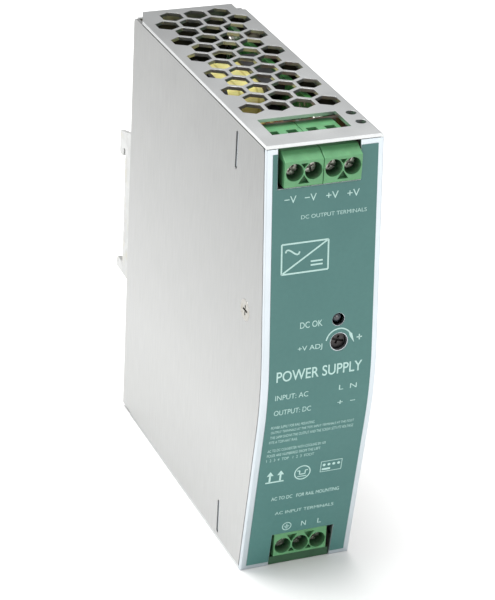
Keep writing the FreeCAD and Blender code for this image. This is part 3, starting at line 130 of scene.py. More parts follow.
class Finish:
    """One procedural material, built up by its methods."""

    def __init__(self, name, **fixed):
        self.material = bpy.data.materials.new(name)
        self.material.use_nodes = True
        self.nodes = self.material.node_tree.nodes
        self.links = self.material.node_tree.links
        self.shader = self.nodes["Principled BSDF"]
        self.place = self.nodes.new("ShaderNodeTexCoord").outputs["Object"]
        self.height = None
        self.rounded = None
        for label, value in fixed.items():
            self.shader.inputs[label.replace("_", " ")].default_value = value

    def join(self, source, target):
        self.links.new(source, target)

    def moved(self, stretch, turn=(0, 0, 0)):
        """Object position, scaled per axis, for patterns with a direction."""
        mapping = self.nodes.new("ShaderNodeMapping")
        mapping.inputs["Scale"].default_value = stretch
        mapping.inputs["Rotation"].default_value = turn
        self.join(self.place, mapping.inputs["Vector"])
        return mapping.outputs["Vector"]

    def noise(self, size_mm, detail=4.0, roughness=0.55, stretch=(1, 1, 1), distortion=0.0):
        """Noise with features about size_mm across."""
        node = self.nodes.new("ShaderNodeTexNoise")
        node.inputs["Scale"].default_value = 1.0 / (size_mm * MM)
        node.inputs["Detail"].default_value = detail
        node.inputs["Roughness"].default_value = roughness
        node.inputs["Distortion"].default_value = distortion
        self.join(self.moved(stretch), node.inputs["Vector"])
        return node.outputs["Fac"]

    def cells(self, size_mm, output="Distance", feature="F1", stretch=(1, 1, 1), distance="EUCLIDEAN"):
        """Voronoi cells about size_mm across."""
        node = self.nodes.new("ShaderNodeTexVoronoi")
        node.feature = feature
        if feature != "DISTANCE_TO_EDGE":
            node.distance = distance
        node.inputs["Scale"].default_value = 1.0 / (size_mm * MM)
        self.join(self.moved(stretch), node.inputs["Vector"])
        return node.outputs[output]

    def bands(self, size_mm, direction="X", distortion=0.0):
        """Straight stripes size_mm apart along an axis."""
        node = self.nodes.new("ShaderNodeTexWave")
        node.bands_direction = direction
        node.inputs["Scale"].default_value = 0.314 / (size_mm * MM)
        node.inputs["Distortion"].default_value = distortion
        node.inputs["Detail"].default_value = 2.0
        self.join(self.place, node.inputs["Vector"])
        return node.outputs["Fac"]

    def span(self, value, low, high, to_low=0.0, to_high=1.0):
        """Map a value from one range to another, clamped."""
        node = self.nodes.new("ShaderNodeMapRange")
        for label, number in (("From Min", low), ("From Max", high), ("To Min", to_low), ("To Max", to_high)):
            node.inputs[label].default_value = number
        self.join(value, node.inputs["Value"])
        return node.outputs["Result"]

    def sum_of(self, operation, first, second):
        """Math node on two values; second may be a number."""
        node = self.nodes.new("ShaderNodeMath")
        node.operation = operation
        self.join(first, node.inputs[0])
        if isinstance(second, (int, float)):
            node.inputs[1].default_value = second
        else:
            self.join(second, node.inputs[1])
        return node.outputs[0]

    def coordinate(self, axis):
        """Object position along one axis, in metres."""
        node = self.nodes.new("ShaderNodeSeparateXYZ")
        self.join(self.place, node.inputs[0])
        return node.outputs[axis]

    def blended(self, factor, first, second):
        """Mix of two colours; each is a colour or a socket."""
        node = self.nodes.new("ShaderNodeMix")
        node.data_type = "RGBA"
        self.join(factor, node.inputs["Factor"])
        for label, value in ((6, first), (7, second)):
            if isinstance(value, tuple):
                node.inputs[label].default_value = value
            else:
                self.join(value, node.inputs[label])
        return node.outputs[2]

    def dimmed(self, colour, amount):
        """A colour socket made darker or lighter by a varying amount."""
        node = self.nodes.new("ShaderNodeVectorMath")
        node.operation = "SCALE"
        self.join(colour, node.inputs[0])
        self.join(amount, node.inputs["Scale"])
        return node.outputs[0]

    def edges(self, radius_mm=0.25):
        """1 along outer edges, 0 on flats; the rounded normal also softens the edges."""
        bevel = self.nodes.new("ShaderNodeBevel")
        bevel.samples = 4
        bevel.inputs["Radius"].default_value = radius_mm * MM
        self.rounded = bevel.outputs["Normal"]
        geometry = self.nodes.new("ShaderNodeNewGeometry")
        dot = self.nodes.new("ShaderNodeVectorMath")
        dot.operation = "DOT_PRODUCT"
        self.join(self.rounded, dot.inputs[0])
        self.join(geometry.outputs["Normal"], dot.inputs[1])
        return self.span(dot.outputs["Value"], 0.995, 0.90, 0.0, 1.0)

    def bump(self, value, rise_mm, strength=1.0):
        """Add surface relief."""
        node = self.nodes.new("ShaderNodeBump")
        node.inputs["Strength"].default_value = strength
        node.inputs["Distance"].default_value = rise_mm * MM
        self.join(value, node.inputs["Height"])
        previous = self.height or self.rounded
        if previous is not None:
            self.join(previous, node.inputs["Normal"])
        self.height = node.outputs["Normal"]

    def done(self, colour=None, roughness=None, **linked):
        """Connect the results to the shader and return the material."""
        if colour is not None:
            self.join(colour, self.shader.inputs["Base Color"])
        if roughness is not None:
            self.join(roughness, self.shader.inputs["Roughness"])
        for label, socket in linked.items():
            self.join(socket, self.shader.inputs[label.replace("_", " ")])
        normal = self.height or self.rounded
        if normal is not None:
            self.join(normal, self.shader.inputs["Normal"])
        return self.material


# ---------------------------------------------------------------- materials

def rolled_sheet(name, colour, roughness=0.36, metallic=1.0, grain=(1, 1, 0.06), tint=0.93, slow_tone_and_painted_shade=None):
    """Bare sheet metal: rolling grain, faint clouding, small scuffs and bright cut edges.

    An optional slow change of tone along one axis paints shade on the sheet; it is given as the axis, two
    places on it and the tone at each.
    """
    finish = Finish(name, Metallic=metallic)
    streaks = finish.noise(0.5, 5.0, 0.6, grain)
    clouds = finish.noise(14.0, 3.0, 0.5)
    scuffs = finish.span(finish.noise(2.6, 8.0, 0.72, distortion=1.2), 0.66, 0.80)
    worn = finish.sum_of("MULTIPLY", finish.edges(0.22), finish.span(finish.noise(1.2), 0.35, 0.6, 0.35, 1.0))
    base = finish.blended(finish.span(clouds, 0.3, 0.7), scaled(colour, tint), colour)
    base = finish.blended(finish.span(streaks, 0.3, 0.7, 0.0, 0.35), base, scaled(colour, tint * 0.93))
    base = finish.blended(finish.sum_of("MULTIPLY", scuffs, 0.25), base, scaled(colour, 1.1))
    base = finish.blended(finish.sum_of("MULTIPLY", worn, 0.6), base, scaled(colour, 1.22))
    rough = finish.sum_of("ADD", finish.span(streaks, 0.3, 0.7, roughness - 0.04, roughness + 0.05),
                          finish.span(clouds, 0.35, 0.7, -0.03, 0.05))
    # painted shade: the sheet's tone is dimmed along one axis to stand in for how the light falls on it
    if slow_tone_and_painted_shade is not None:
        base = finish.dimmed(base, finish.span(finish.coordinate(slow_tone_and_painted_shade[0]), *slow_tone_and_painted_shade[1:]))
    finish.bump(streaks, 0.004, 0.5)
    finish.bump(finish.noise(6.0, 2.0), 0.03, 0.25)
    return finish.done(base, rough)


def zinc_plate(name, colour, roughness=0.34):
    """Zinc-plated steel: cloudy crystals with a faint yellow passivation and worn corners."""
    finish = Finish(name, Metallic=1.0)
    spangle = finish.cells(2.2, "Color")
    grey = finish.nodes.new("ShaderNodeRGBToBW")
    finish.join(spangle, grey.inputs[0])
    patches = finish.noise(4.5, 5.0, 0.6)
    worn = finish.edges(0.2)
    base = finish.blended(grey.outputs[0], scaled(colour, 0.9), scaled(colour, 1.08))
    base = finish.blended(finish.span(patches, 0.52, 0.75, 0.0, 0.45), base, rgb(196, 190, 160))
    base = finish.blended(finish.sum_of("MULTIPLY", worn, 0.6), base, scaled(colour, 1.3))
    finish.bump(finish.noise(0.25, 3.0), 0.004, 0.5)
    return finish.done(base, finish.span(patches, 0.3, 0.7, roughness - 0.05, roughness + 0.1))


def printed_film():
    """Satin printed film: even teal ink with slight mottling and an orange-peel surface."""
    colour = rgb(60, 110, 106)
    finish = Finish("label_film", Metallic=0.0, Coat_Weight=0.12, Coat_Roughness=0.3)
    slow_tone_and_painted_shade = finish.noise(26.0, 2.0, 0.5)
    mottle = finish.noise(1.1, 5.0, 0.65)
    specks = finish.span(finish.noise(0.45, 3.0, 0.6), 0.62, 0.8)
    rubbed = finish.edges(0.2)
    base = finish.blended(finish.span(slow_tone_and_painted_shade, 0.3, 0.7), rgb(57, 107, 103), rgb(64, 114, 109))
    base = finish.blended(finish.span(mottle, 0.3, 0.75, 0.0, 0.30), base, scaled(colour, 0.80))
    base = finish.blended(finish.sum_of("MULTIPLY", specks, 0.18), base, rgb(88, 142, 136))
    base = finish.blended(finish.sum_of("MULTIPLY", rubbed, 0.5), base, rgb(118, 158, 152))
    finish.bump(finish.noise(0.35, 2.0), 0.006, 0.35)
    return finish.done(base, finish.span(mottle, 0.3, 0.7, 0.38, 0.50))


def screen_ink(name, colour):
    """Screen-printed ink: thin, slightly uneven and lightly rubbed."""
    finish = Finish(name, Metallic=0.0)
    thin = finish.noise(0.5, 5.0, 0.6)
    base = finish.blended(finish.span(thin, 0.45, 0.75, 0.0, 0.45), colour, scaled(colour, 0.72))
    finish.bump(finish.noise(0.15, 2.0), 0.003, 0.4)
    return finish.done(base, finish.span(thin, 0.3, 0.7, 0.42, 0.58))


def moulding(name, colour, roughness=0.42, light=1.22, subsurface=0.0, painted_well_shade=None):
    """Injection-moulded plastic: eroded-mould texture, soft flow marks and polished edges.

    Optional painted shade for places sunk behind the face: the face's Y, the height where the shade ends and
    the height where it is full.
    """
    finish = Finish(name, Metallic=0.0, Subsurface_Weight=subsurface, Subsurface_Scale=0.4 * MM)
    flow = finish.noise(3.2, 3.0, 0.5, distortion=0.8)
    texture = finish.noise(0.12, 4.0, 0.6)
    worn = finish.edges(0.18)
    base = finish.blended(finish.span(flow, 0.3, 0.7), scaled(colour, 0.88), scaled(colour, 1.08))
    base = finish.blended(finish.span(texture, 0.5, 0.75, 0.0, 0.35), base, scaled(colour, 0.75))
    base = finish.blended(finish.sum_of("MULTIPLY", worn, 0.55), base, scaled(colour, light + 0.25))
    # painted shade: places sunk behind the block's face are darkened, from none at the first height to full
    # at the second
    if painted_well_shade:
        face, unshaded_z, full_shade_z = painted_well_shade
        depth = finish.span(finish.coordinate("Y"), face + 0.25 * MM, face + 2.0 * MM)
        sunk = finish.sum_of("MULTIPLY", depth, finish.span(finish.coordinate("Z"), unshaded_z, full_shade_z))
        base = finish.dimmed(base, finish.span(sunk, 0.0, 1.0, 1.0, 0.36))
    finish.bump(texture, 0.008, 0.55)
    return finish.done(base, finish.span(flow, 0.3, 0.7, roughness - 0.05, roughness + 0.08))


def plated(name, colour, roughness=0.26, tarnish=(150, 138, 104)):
    """Bright plated contact metal: drawn grain, dull patches and pale edges."""
    finish = Finish(name, Metallic=1.0)
    grain = finish.noise(0.2, 4.0, 0.6, (1, 0.15, 1))
    patches = finish.noise(1.6, 4.0, 0.6)
    worn = finish.edges(0.12)
    base = finish.blended(finish.span(patches, 0.5, 0.78, 0.0, 0.5), colour, rgb(*tarnish))
    base = finish.blended(finish.span(grain, 0.3, 0.7, 0.0, 0.3), base, scaled(colour, 0.78))
    base = finish.blended(finish.sum_of("MULTIPLY", worn, 0.7), base, scaled(colour, 1.4))
    finish.bump(grain, 0.005, 0.6)
    return finish.done(base, finish.span(patches, 0.3, 0.7, roughness - 0.06, roughness + 0.12))


def circuit_board(name, resist, track, weave, across):
    """Board under solder resist: raised tracks, tinned pads and glass or paper weave."""
    finish = Finish(name, Metallic=0.0, Coat_Weight=0.35, Coat_Roughness=0.22)
    flat = tuple(0.0 if axis == across else 1.0 for axis in "XYZ")
    tracks = finish.span(finish.cells(3.6, feature="DISTANCE_TO_EDGE", stretch=flat), 0.08, 0.10)
    pads = finish.span(finish.cells(2.54, stretch=flat), 0.24, 0.21)
    fibres = finish.noise(0.5, 3.0, 0.6, flat)
    base = finish.blended(tracks, track, resist)
    base = finish.blended(finish.span(fibres, 0.45, 0.7, 0.0, 0.4), base, weave)
    base = finish.blended(pads, base, rgb(188, 186, 176))
    finish.bump(tracks, -0.03, 0.6)
    finish.bump(pads, 0.05, 0.7)
    tinned = finish.sum_of("MULTIPLY", pads, 0.8)
    return finish.done(base, finish.span(fibres, 0.3, 0.7, 0.34, 0.5), Metallic=tinned)


def ferrite():
    """Sintered ferrite: dark grey, matt, with fine pores."""
    finish = Finish("ferrite", Metallic=0.15)
    pores = finish.noise(0.18, 5.0, 0.7)
    clouds = finish.noise(5.0, 3.0)
    worn = finish.edges(0.3)
    base = finish.blended(finish.span(pores, 0.35, 0.65), rgb(40, 40, 43), rgb(68, 68, 72))
    base = finish.blended(finish.span(clouds, 0.4, 0.7, 0.0, 0.4), base, rgb(82, 80, 80))
    base = finish.blended(finish.sum_of("MULTIPLY", worn, 0.5), base, rgb(118, 118, 120))
    finish.bump(pores, 0.02, 0.7)
    return finish.done(base, finish.span(clouds, 0.3, 0.7, 0.52, 0.68))


def winding_tape():
    """Yellow polyester tape: glossy overlapping laps with faint wrinkles and trapped air."""
    finish = Finish("yellow_tape", Metallic=0.0, Coat_Weight=0.5, Coat_Roughness=0.14,
                    Subsurface_Weight=0.12, Subsurface_Scale=0.5 * MM)
    laps = finish.bands(5.2, "X", 0.5)
    wrinkle = finish.noise(1.5, 4.0, 0.6, (0.25, 1, 1), 0.6)
    base = finish.blended(finish.span(wrinkle, 0.3, 0.7), rgb(222, 212, 116), rgb(244, 236, 160))
    base = finish.blended(finish.span(laps, 0.93, 1.0, 0.0, 0.6), base, rgb(176, 158, 62))
    finish.bump(laps, 0.06, 0.5)
    finish.bump(wrinkle, 0.05, 0.6)
    return finish.done(base, finish.span(wrinkle, 0.3, 0.7, 0.24, 0.40))


def can_sleeve(name, top_plane, stripe_axis):
    """Capacitor can: dark shrink sleeve with a pale stripe, and a bare scored aluminium end."""
    finish = Finish(name, Coat_Weight=0.25, Coat_Roughness=0.2)
    axis, plane, side = top_plane
    end = finish.span(finish.coordinate(axis), plane - side * 0.10 * MM, plane + side * 0.02 * MM)
    stripe = finish.span(finish.bands(9.0, stripe_axis), 0.93, 0.96)
    mottle = finish.noise(1.2, 4.0, 0.6)
    sleeve = finish.blended(finish.span(mottle, 0.3, 0.7), rgb(20, 20, 30), rgb(38, 38, 52))
    sleeve = finish.blended(finish.sum_of("MULTIPLY", stripe, 0.7), sleeve, rgb(150, 150, 156))
    base = finish.blended(end, sleeve, rgb(196, 197, 198))
    finish.bump(finish.noise(2.4, 2.0), 0.05, 0.3)
    return finish.done(base, finish.span(mottle, 0.3, 0.7, 0.28, 0.4), Metallic=end)


def lacquered(name, colour, roughness=0.22, orange_peel=0.9):
    """Dipped lacquer coat: glossy, lumpy and a little uneven in colour."""
    finish = Finish(name, Metallic=0.0, Coat_Weight=0.5, Coat_Roughness=0.1)
    lumps = finish.noise(orange_peel, 3.0, 0.5)
    pool = finish.noise(3.5, 3.0)
    base = finish.blended(finish.span(pool, 0.3, 0.7), scaled(colour, 0.75), scaled(colour, 1.2))
    base = finish.blended(finish.span(lumps, 0.55, 0.8, 0.0, 0.3), base, scaled(colour, 1.6))
    finish.bump(lumps, 0.07, 0.6)
    return finish.done(base, finish.span(pool, 0.3, 0.7, roughness, roughness + 0.15))


def enamelled_copper():
    """Enamelled copper wire: warm metal with darker varnish pooled between turns."""
    finish = Finish("copper_wire", Metallic=1.0, Coat_Weight=0.6, Coat_Roughness=0.12)
    varnish = finish.noise(1.0, 4.0, 0.6)
    draw = finish.noise(0.15, 3.0, 0.6)
    base = finish.blended(finish.span(varnish, 0.35, 0.7), rgb(196, 112, 58), rgb(138, 66, 30))
    base = finish.blended(finish.span(draw, 0.55, 0.8, 0.0, 0.3), base, rgb(224, 148, 90))
    finish.bump(draw, 0.006, 0.6)
    return finish.done(base, finish.span(varnish, 0.3, 0.7, 0.22, 0.38))


def lamp_lens():
    """Smoked epoxy lamp: dark and glossy, with a faint cloud inside."""
    finish = Finish("lamp_lens", Metallic=0.0, Coat_Weight=1.0, Coat_Roughness=0.05, IOR=1.5)
    cloud = finish.noise(1.0, 3.0)
    base = finish.blended(finish.span(cloud, 0.3, 0.7), rgb(16, 20, 28), rgb(30, 36, 46))
    finish.bump(finish.noise(0.3, 2.0), 0.003, 0.3)
    return finish.done(base, finish.span(cloud, 0.3, 0.7, 0.12, 0.22))


def insulation_film():
    """Smoky insulating film with shallow creases; its dark tone is partly the film's own colour and partly
    painted shade for the inside of the case.
    """
    finish = Finish("insulation_film", Metallic=0.0, Coat_Weight=0.3, Coat_Roughness=0.25)
    haze = finish.noise(2.5, 4.0, 0.6)
    creases = finish.noise(9.0, 2.0, 0.5, distortion=1.0)
    base = finish.blended(finish.span(haze, 0.3, 0.7), rgb(22, 22, 15), rgb(46, 42, 28))
    finish.bump(creases, 0.15, 0.5)
    return finish.done(base, finish.span(haze, 0.3, 0.7, 0.4, 0.55))


def floor_finish():
    """Pale matt studio floor with a very fine tooth."""
    finish = Finish("studio_floor", Metallic=0.0)
    tone = finish.noise(60.0, 3.0)
    base = finish.blended(finish.span(tone, 0.3, 0.7), rgb(244, 244, 243), rgb(248, 248, 248))
    finish.bump(finish.noise(0.8, 3.0), 0.01, 0.15)
    return finish.done(base, finish.span(tone, 0.3, 0.7, 0.72, 0.8))


def make_materials():
    """Every finish by the record's slot name."""
    output_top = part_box("output_capacitors")[0].x
    bulk_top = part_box("bulk_capacitor")[1].z
    output_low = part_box("output_terminal_left")[0]
    input_low, input_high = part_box("input_terminal")
    # painted shade in each terminal well: the face's Y and the two heights for the moulding
    output_painted_well_shade = (output_low.y, output_low.z + WELL_UNSHADED, output_low.z + WELL_FULL_SHADE)
    input_painted_well_shade = (input_low.y, input_high.z - WELL_UNSHADED, input_high.z - WELL_FULL_SHADE)
    return {
        # painted shade: the case metal darkens towards the back and the side cover darkens towards the top
        "case_metal": rolled_sheet("case_metal", rgb(213, 215, 215), slow_tone_and_painted_shade=("Y", -0.1, -0.004, 1.06, 0.68)),
        "cover_metal": rolled_sheet("cover_metal", rgb(208, 209, 208), slow_tone_and_painted_shade=("Z", -0.03, 0.061, 0.81, 0.48)),
        "panel_metal": rolled_sheet("panel_metal", rgb(204, 212, 217), 0.34),
        "label_film": printed_film(),
        "screw_steel": plated("screw_steel", rgb(172, 170, 164), 0.22),
        "bracket_metal": zinc_plate("bracket_metal", rgb(190, 191, 190)),
        "spring_steel": plated("spring_steel", rgb(176, 177, 180), 0.28),
        "terminal_green": moulding("terminal_green", rgb(90, 149, 101), 0.40, subsurface=0.06,
                                   painted_well_shade=output_painted_well_shade),
        "input_green": moulding("input_green", rgb(90, 149, 101), 0.40, subsurface=0.06,
                                painted_well_shade=input_painted_well_shade),
        # painted shade: a darker copy of the terminal green for the shaded band under the input block
        "skirt_painted_shade": moulding("skirt_painted_shade", rgb(38, 78, 50), 0.45),
        "clamp_metal": plated("clamp_metal", rgb(196, 192, 180), 0.28),
        "busbar_metal": plated("busbar_metal", rgb(206, 200, 176), 0.28),
        "board_green": circuit_board("board_green", rgb(34, 88, 42), rgb(60, 126, 62), rgb(84, 138, 76), "X"),
        "board_brown": circuit_board("board_brown", rgb(142, 106, 62), rgb(160, 122, 74),
                                     rgb(176, 140, 92), "Y"),
        "insulation_film": insulation_film(),
        "ferrite": ferrite(),
        "black_plastic": moulding("black_plastic", rgb(38, 38, 40), 0.45, 1.6),
        "yellow_tape": winding_tape(),
        "can_sleeve": can_sleeve("can_sleeve", ("X", output_top + 0.1 * MM, -1), "Z"),
        "bulk_sleeve": can_sleeve("bulk_sleeve", ("Z", bulk_top - 0.1 * MM, 1), "Y"),
        "ring_core": lacquered("ring_core", rgb(178, 160, 84), 0.4, 0.5),
        "copper_wire": enamelled_copper(),
        "box_film": moulding("box_film", rgb(206, 176, 60), 0.4, 1.15),
        "disc_coat": lacquered("disc_coat", rgb(38, 84, 150)),
        "thermistor_coat": lacquered("thermistor_coat", rgb(34, 42, 38), 0.3),
        "fuse_body": lacquered("fuse_body", rgb(206, 200, 180), 0.3),
        "heatsink_metal": rolled_sheet("heatsink_metal", rgb(196, 198, 200), 0.32, grain=(1, 0.08, 1)),
        "lamp_lens": lamp_lens(),
        "rotor_plastic": moulding("rotor_plastic", rgb(44, 38, 38), 0.34, 1.4),
    }


def paint(data, finish):
    """Give a mesh or curve one material."""
    data.materials.clear()
    data.materials.append(finish)


def dress_cad_nodes(finishes):
    """Give each CAD node the finish of its slot in the record, with three that need their own."""
    for subpart in frame["record"]["subparts"]:
        node = frame["nodes"][subpart["node"]]
        paint(node.data, finishes[subpart["material_slot"]])
    for name, finish in (("bulk_capacitor", "bulk_sleeve"), ("side_cover", "cover_metal"),
                         ("input_terminal", "input_green")):
        paint(frame["nodes"][name].data, finishes[finish])


# ---------------------------------------------------------------- pieces

def add_object(name, data, body, finish):
    """Link a mesh or curve that rides on a body."""
    piece = bpy.data.objects.new(name, data)
    bpy.context.scene.collection.objects.link(piece)
    paint(data, finish)
    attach(piece, body)
    return piece


def finished_mesh(work, name, edge_round=None):
    """Mesh from a bmesh, with its edges rounded where a radius is given."""
    if edge_round:
        bmesh.ops.bevel(work, geom=work.edges[:], offset=edge_round, segments=2, affect="EDGES")
    mesh = bpy.data.meshes.new(name)
    work.to_mesh(mesh)
    work.free()
    return mesh


def add_prism(work, back_points, front_points):
    """Solid between two outlines with the same number of points."""
    back = [work.verts.new(point) for point in back_points]
    front = [work.verts.new(point) for point in front_points]
    work.faces.new(front)
    work.faces.new(back[::-1])
    for index in range(len(back)):
        after = (index + 1) % len(back)
        work.faces.new((back[index], back[after], front[after], front[index]))


# Printing: flat shapes drawn in millimetres, across from the left side and down from the top.

film = frame["nodes"]["front_label"]
film_tree = BVHTree.FromPolygons([v.co for v in film.data.vertices],
                                 [p.vertices for p in film.data.polygons])


def film_depth(x, z):
    """Y of the printed film's face at a point, or None past its edges."""
    hit = film_tree.ray_cast(Vector((x, -1.0, z)), Vector((0, 1, 0)))
    return hit[0].y if hit[0] is not None else None


def lay_on_film(mesh, across, drop):
    """Wrap a flat mesh, drawn about its own centre in millimetres, onto the bowed film."""
    centre_depth = film_depth(LEFT + across * MM, TOP - drop * MM)
    for vertex in mesh.vertices:
        x = LEFT + (across + vertex.co.x) * MM
        z = TOP - (drop - vertex.co.y) * MM
        depth = film_depth(x, z)
        depth = centre_depth if depth is None else depth
        vertex.co = Vector((x, depth + (-INK_RISE if vertex.co.z > 0 else INK_DEPTH), z))


def text_shape(words, height, width=None, weight=0.0):
    """Lettering as a thin solid: capital height and total width in millimetres."""
    curve = bpy.data.curves.new("lettering", "FONT")
    curve.body = words
    curve.extrude = HALF_SHAPE
    curve.offset = weight
    curve.resolution_u = 5
    holder = bpy.data.objects.new("lettering", curve)
    bpy.context.scene.collection.objects.link(holder)
    graph = bpy.context.evaluated_depsgraph_get()
    mesh = bpy.data.meshes.new_from_object(holder.evaluated_get(graph))
    bpy.data.objects.remove(holder)
    bpy.data.curves.remove(curve)
    xs = [v.co.x for v in mesh.vertices]
    ys = [v.co.y for v in mesh.vertices]
    rise = height / (max(ys) - min(ys))
    stretch = rise if width is None else width / (max(xs) - min(xs))
    for vertex in mesh.vertices:
        vertex.co.x = (vertex.co.x - (max(xs) + min(xs)) / 2) * stretch
        vertex.co.y = (vertex.co.y - (max(ys) + min(ys)) / 2) * rise
    return mesh


def solid_from_outlines(outlines):
    """Thin solid from closed 2-D outlines in millimetres."""
    work = bmesh.new()
    for outline in outlines:
        add_prism(work, [(u, v, -HALF_SHAPE) for u, v in outline], [(u, v, HALF_SHAPE) for u, v in outline])
    bmesh.ops.recalc_face_normals(work, faces=work.faces)
    return finished_mesh(work, "outline")


def stroke(points, width):
    """Outlines of short bars along a polyline."""
    bars = []
    for start, end in zip(points, points[1:]):
        run = Vector((end[0] - start[0], end[1] - start[1]))
        side = Vector((-run.y, run.x)).normalized() * width / 2
        bars.append([(start[0] - side.x, start[1] - side.y), (end[0] - side.x, end[1] - side.y),
                     (end[0] + side.x, end[1] + side.y), (start[0] + side.x, start[1] + side.y)])
    return bars


def arc_band(radius, width, start, end, steps):
    """Outlines of quads along an arc, angles in degrees from +u."""
    quads = []
    for index in range(steps):
        corners = []
        for angle, reach in ((index, -1), (index + 1, -1), (index + 1, 1), (index, 1)):
            turn = math.radians(start + (end - start) * angle / steps)
            corners.append(((radius + reach * width / 2) * math.cos(turn),
                            (radius + reach * width / 2) * math.sin(turn)))
        quads.append(corners)
    return quads


def turn_arrow():
    """Arc with a tapered head that shows which way the adjuster raises the voltage."""
    band = arc_band(3.7, 0.34, 168, 38, 22)
    head = [(2.55, 2.75), (3.65, 1.85), (4.25, -0.75), (3.0, 1.15)]
    return solid_from_outlines(band + [head])


def converter_symbol():
    """AC to DC converter sign: a square with a diagonal, a wave and two bars."""
    half_u, half_v, line = 6.4, 4.0, 0.42
    corners = [(-half_u, -half_v), (half_u, -half_v), (half_u, half_v), (-half_u, half_v), (-half_u, -half_v)]
    shapes = stroke(corners, line) + stroke([(-half_u, -half_v), (half_u, half_v)], line)
    wave = [(-3.4 + 1.9 * math.cos(math.pi * (1 - step / 9)), 1.7 + 0.75 * math.sin(2 * math.pi * step / 9))
            for step in range(10)]
    shapes += stroke(wave, line)
    shapes += stroke([(1.6, -1.35), (4.9, -1.35)], line) + stroke([(1.6, -2.35), (4.9, -2.35)], line)
    return solid_from_outlines(shapes)


def earth_symbol():
    """Protective earth sign in a circle."""
    shapes = arc_band(1.25, 0.2, 0, 360, 28) + stroke([(0, 0.85), (0, 0.05)], 0.2)
    for drop, half in ((0.05, 0.75), (-0.35, 0.48), (-0.72, 0.22)):
        shapes += stroke([(-half, drop), (half, drop)], 0.18)
    return solid_from_outlines(shapes)


def plus_sign(size, width):
    """Plain cross."""
    across, upright = [(-size, 0), (size, 0)], [(0, -size), (0, size)]
    return solid_from_outlines(stroke(across, width) + stroke(upright, width))


def rail_sign():
    """Top-hat rail profile over a base line, inside a ring."""
    hat = [(-1.5, 0.7), (-0.8, 0.7), (-0.8, -0.5), (0.8, -0.5), (0.8, 0.7), (1.5, 0.7)]
    ring = arc_band(2.2, 0.3, 0, 360, 32)
    return solid_from_outlines(ring + stroke(hat, 0.3) + stroke([(-1.3, -1.2), (1.3, -1.2)], 0.24))


def upright_sign():
    """Two upward arrows on a line: this way up."""
    shapes = stroke([(-2.6, -1.7), (2.6, -1.7)], 0.4)
    for centre in (-1.5, 1.5):
        shapes += stroke([(centre, -1.4), (centre, 0.6)], 0.5)
        shapes.append([(centre - 0.95, 0.5), (centre + 0.95, 0.5), (centre, 1.9)])
    return solid_from_outlines(shapes)


def terminal_sign():
    """Framed plan of four terminals with a bar below."""
    frame_line = [(-3.0, -1.7), (3.0, -1.7), (3.0, 1.7), (-3.0, 1.7), (-3.0, -1.7)]
    shapes = stroke(frame_line, 0.16)
    for centre in (-2.1, -0.7, 0.7, 2.1):
        turns = [math.radians(turn) for turn in range(0, 360, 30)]
        shapes.append([(centre + 0.42 * math.cos(turn), 0.5 + 0.42 * math.sin(turn)) for turn in turns])
    shapes.append([(-2.6, -1.2), (-0.2, -1.2), (-0.2, -0.6), (-2.6, -0.6)])
    return solid_from_outlines(shapes)


# name, words, across, drop, capital height, width, extra weight
LETTERING = [
    ("mark_negative_1", "−V", 6.6, 14.6, 1.9, 3.2, 0.0),
    ("mark_negative_2", "−V", 12.1, 14.6, 1.9, 3.2, 0.0),
    ("mark_positive_1", "+V", 18.0, 14.7, 1.9, 3.4, 0.0),
    ("mark_positive_2", "+V", 23.8, 14.8, 1.9, 3.4, 0.0),
    ("line_dc_output", "DC OUTPUT TERMINALS", 18.6, 19.6, 1.0, 18.0, -0.006),
    ("mark_dc_ok", "DC OK", 13.1, 48.8, 1.7, 6.2, 0.0),
    ("mark_adjust", "+V ADJ", 12.9, 55.4, 1.7, 6.8, 0.0),
    ("line_power_supply", "POWER SUPPLY", 15.8, 62.3, 3.0, 24.0, 0.008),
    ("line_input", "INPUT: AC", 8.4, 68.4, 1.5, 9.2, -0.004),
    ("line_output", "OUTPUT: DC", 9.0, 73.0, 1.5, 10.4, -0.004),
    ("line_input_side", "L  N", 24.2, 68.0, 1.4, 5.0, -0.004),
    ("line_output_side", "+  −", 24.2, 72.6, 1.2, 5.0, -0.004),
    ("row_1", "POWER SUPPLY FOR RAIL MOUNTING", 9.6, 77.6, 0.85, 12.2, -0.008),
    ("row_2", "OUTPUT TERMINALS AT THE TOP, INPUT TERMINALS AT THE FOOT", 15.4, 79.2, 0.85, 23.6, -0.008),
    ("row_3", "THE LAMP SHOWS THE OUTPUT AND THE SCREW SETS ITS VOLTAGE", 15.4, 80.8, 0.85, 23.6, -0.008),
    ("row_4", "FITS A TOP-HAT RAIL", 7.5, 82.4, 0.85, 8.0, -0.008),
    ("row_5", "AC TO DC CONVERTER WITH COOLING BY AIR", 11.7, 85.2, 0.85, 16.6, -0.008),
    ("row_6", "POLES ARE NUMBERED FROM THE LEFT", 11.0, 86.8, 0.85, 15.2, -0.008),
    ("row_7", "1  2  3  4  TOP   1  2  3  FOOT", 10.2, 88.4, 0.85, 13.6, -0.008),
    ("line_kind", "AC TO DC   FOR RAIL MOUNTING", 16.2, 101.8, 1.15, 19.6, 0.0),
    ("line_terminals", "AC INPUT TERMINALS", 16.6, 107.0, 1.0, 17.0, -0.006),
    ("mark_neutral", "N", 17.0, 112.0, 1.6, 1.35, 0.0),
    ("mark_line", "L", 21.6, 112.0, 1.6, 1.05, 0.0),
]


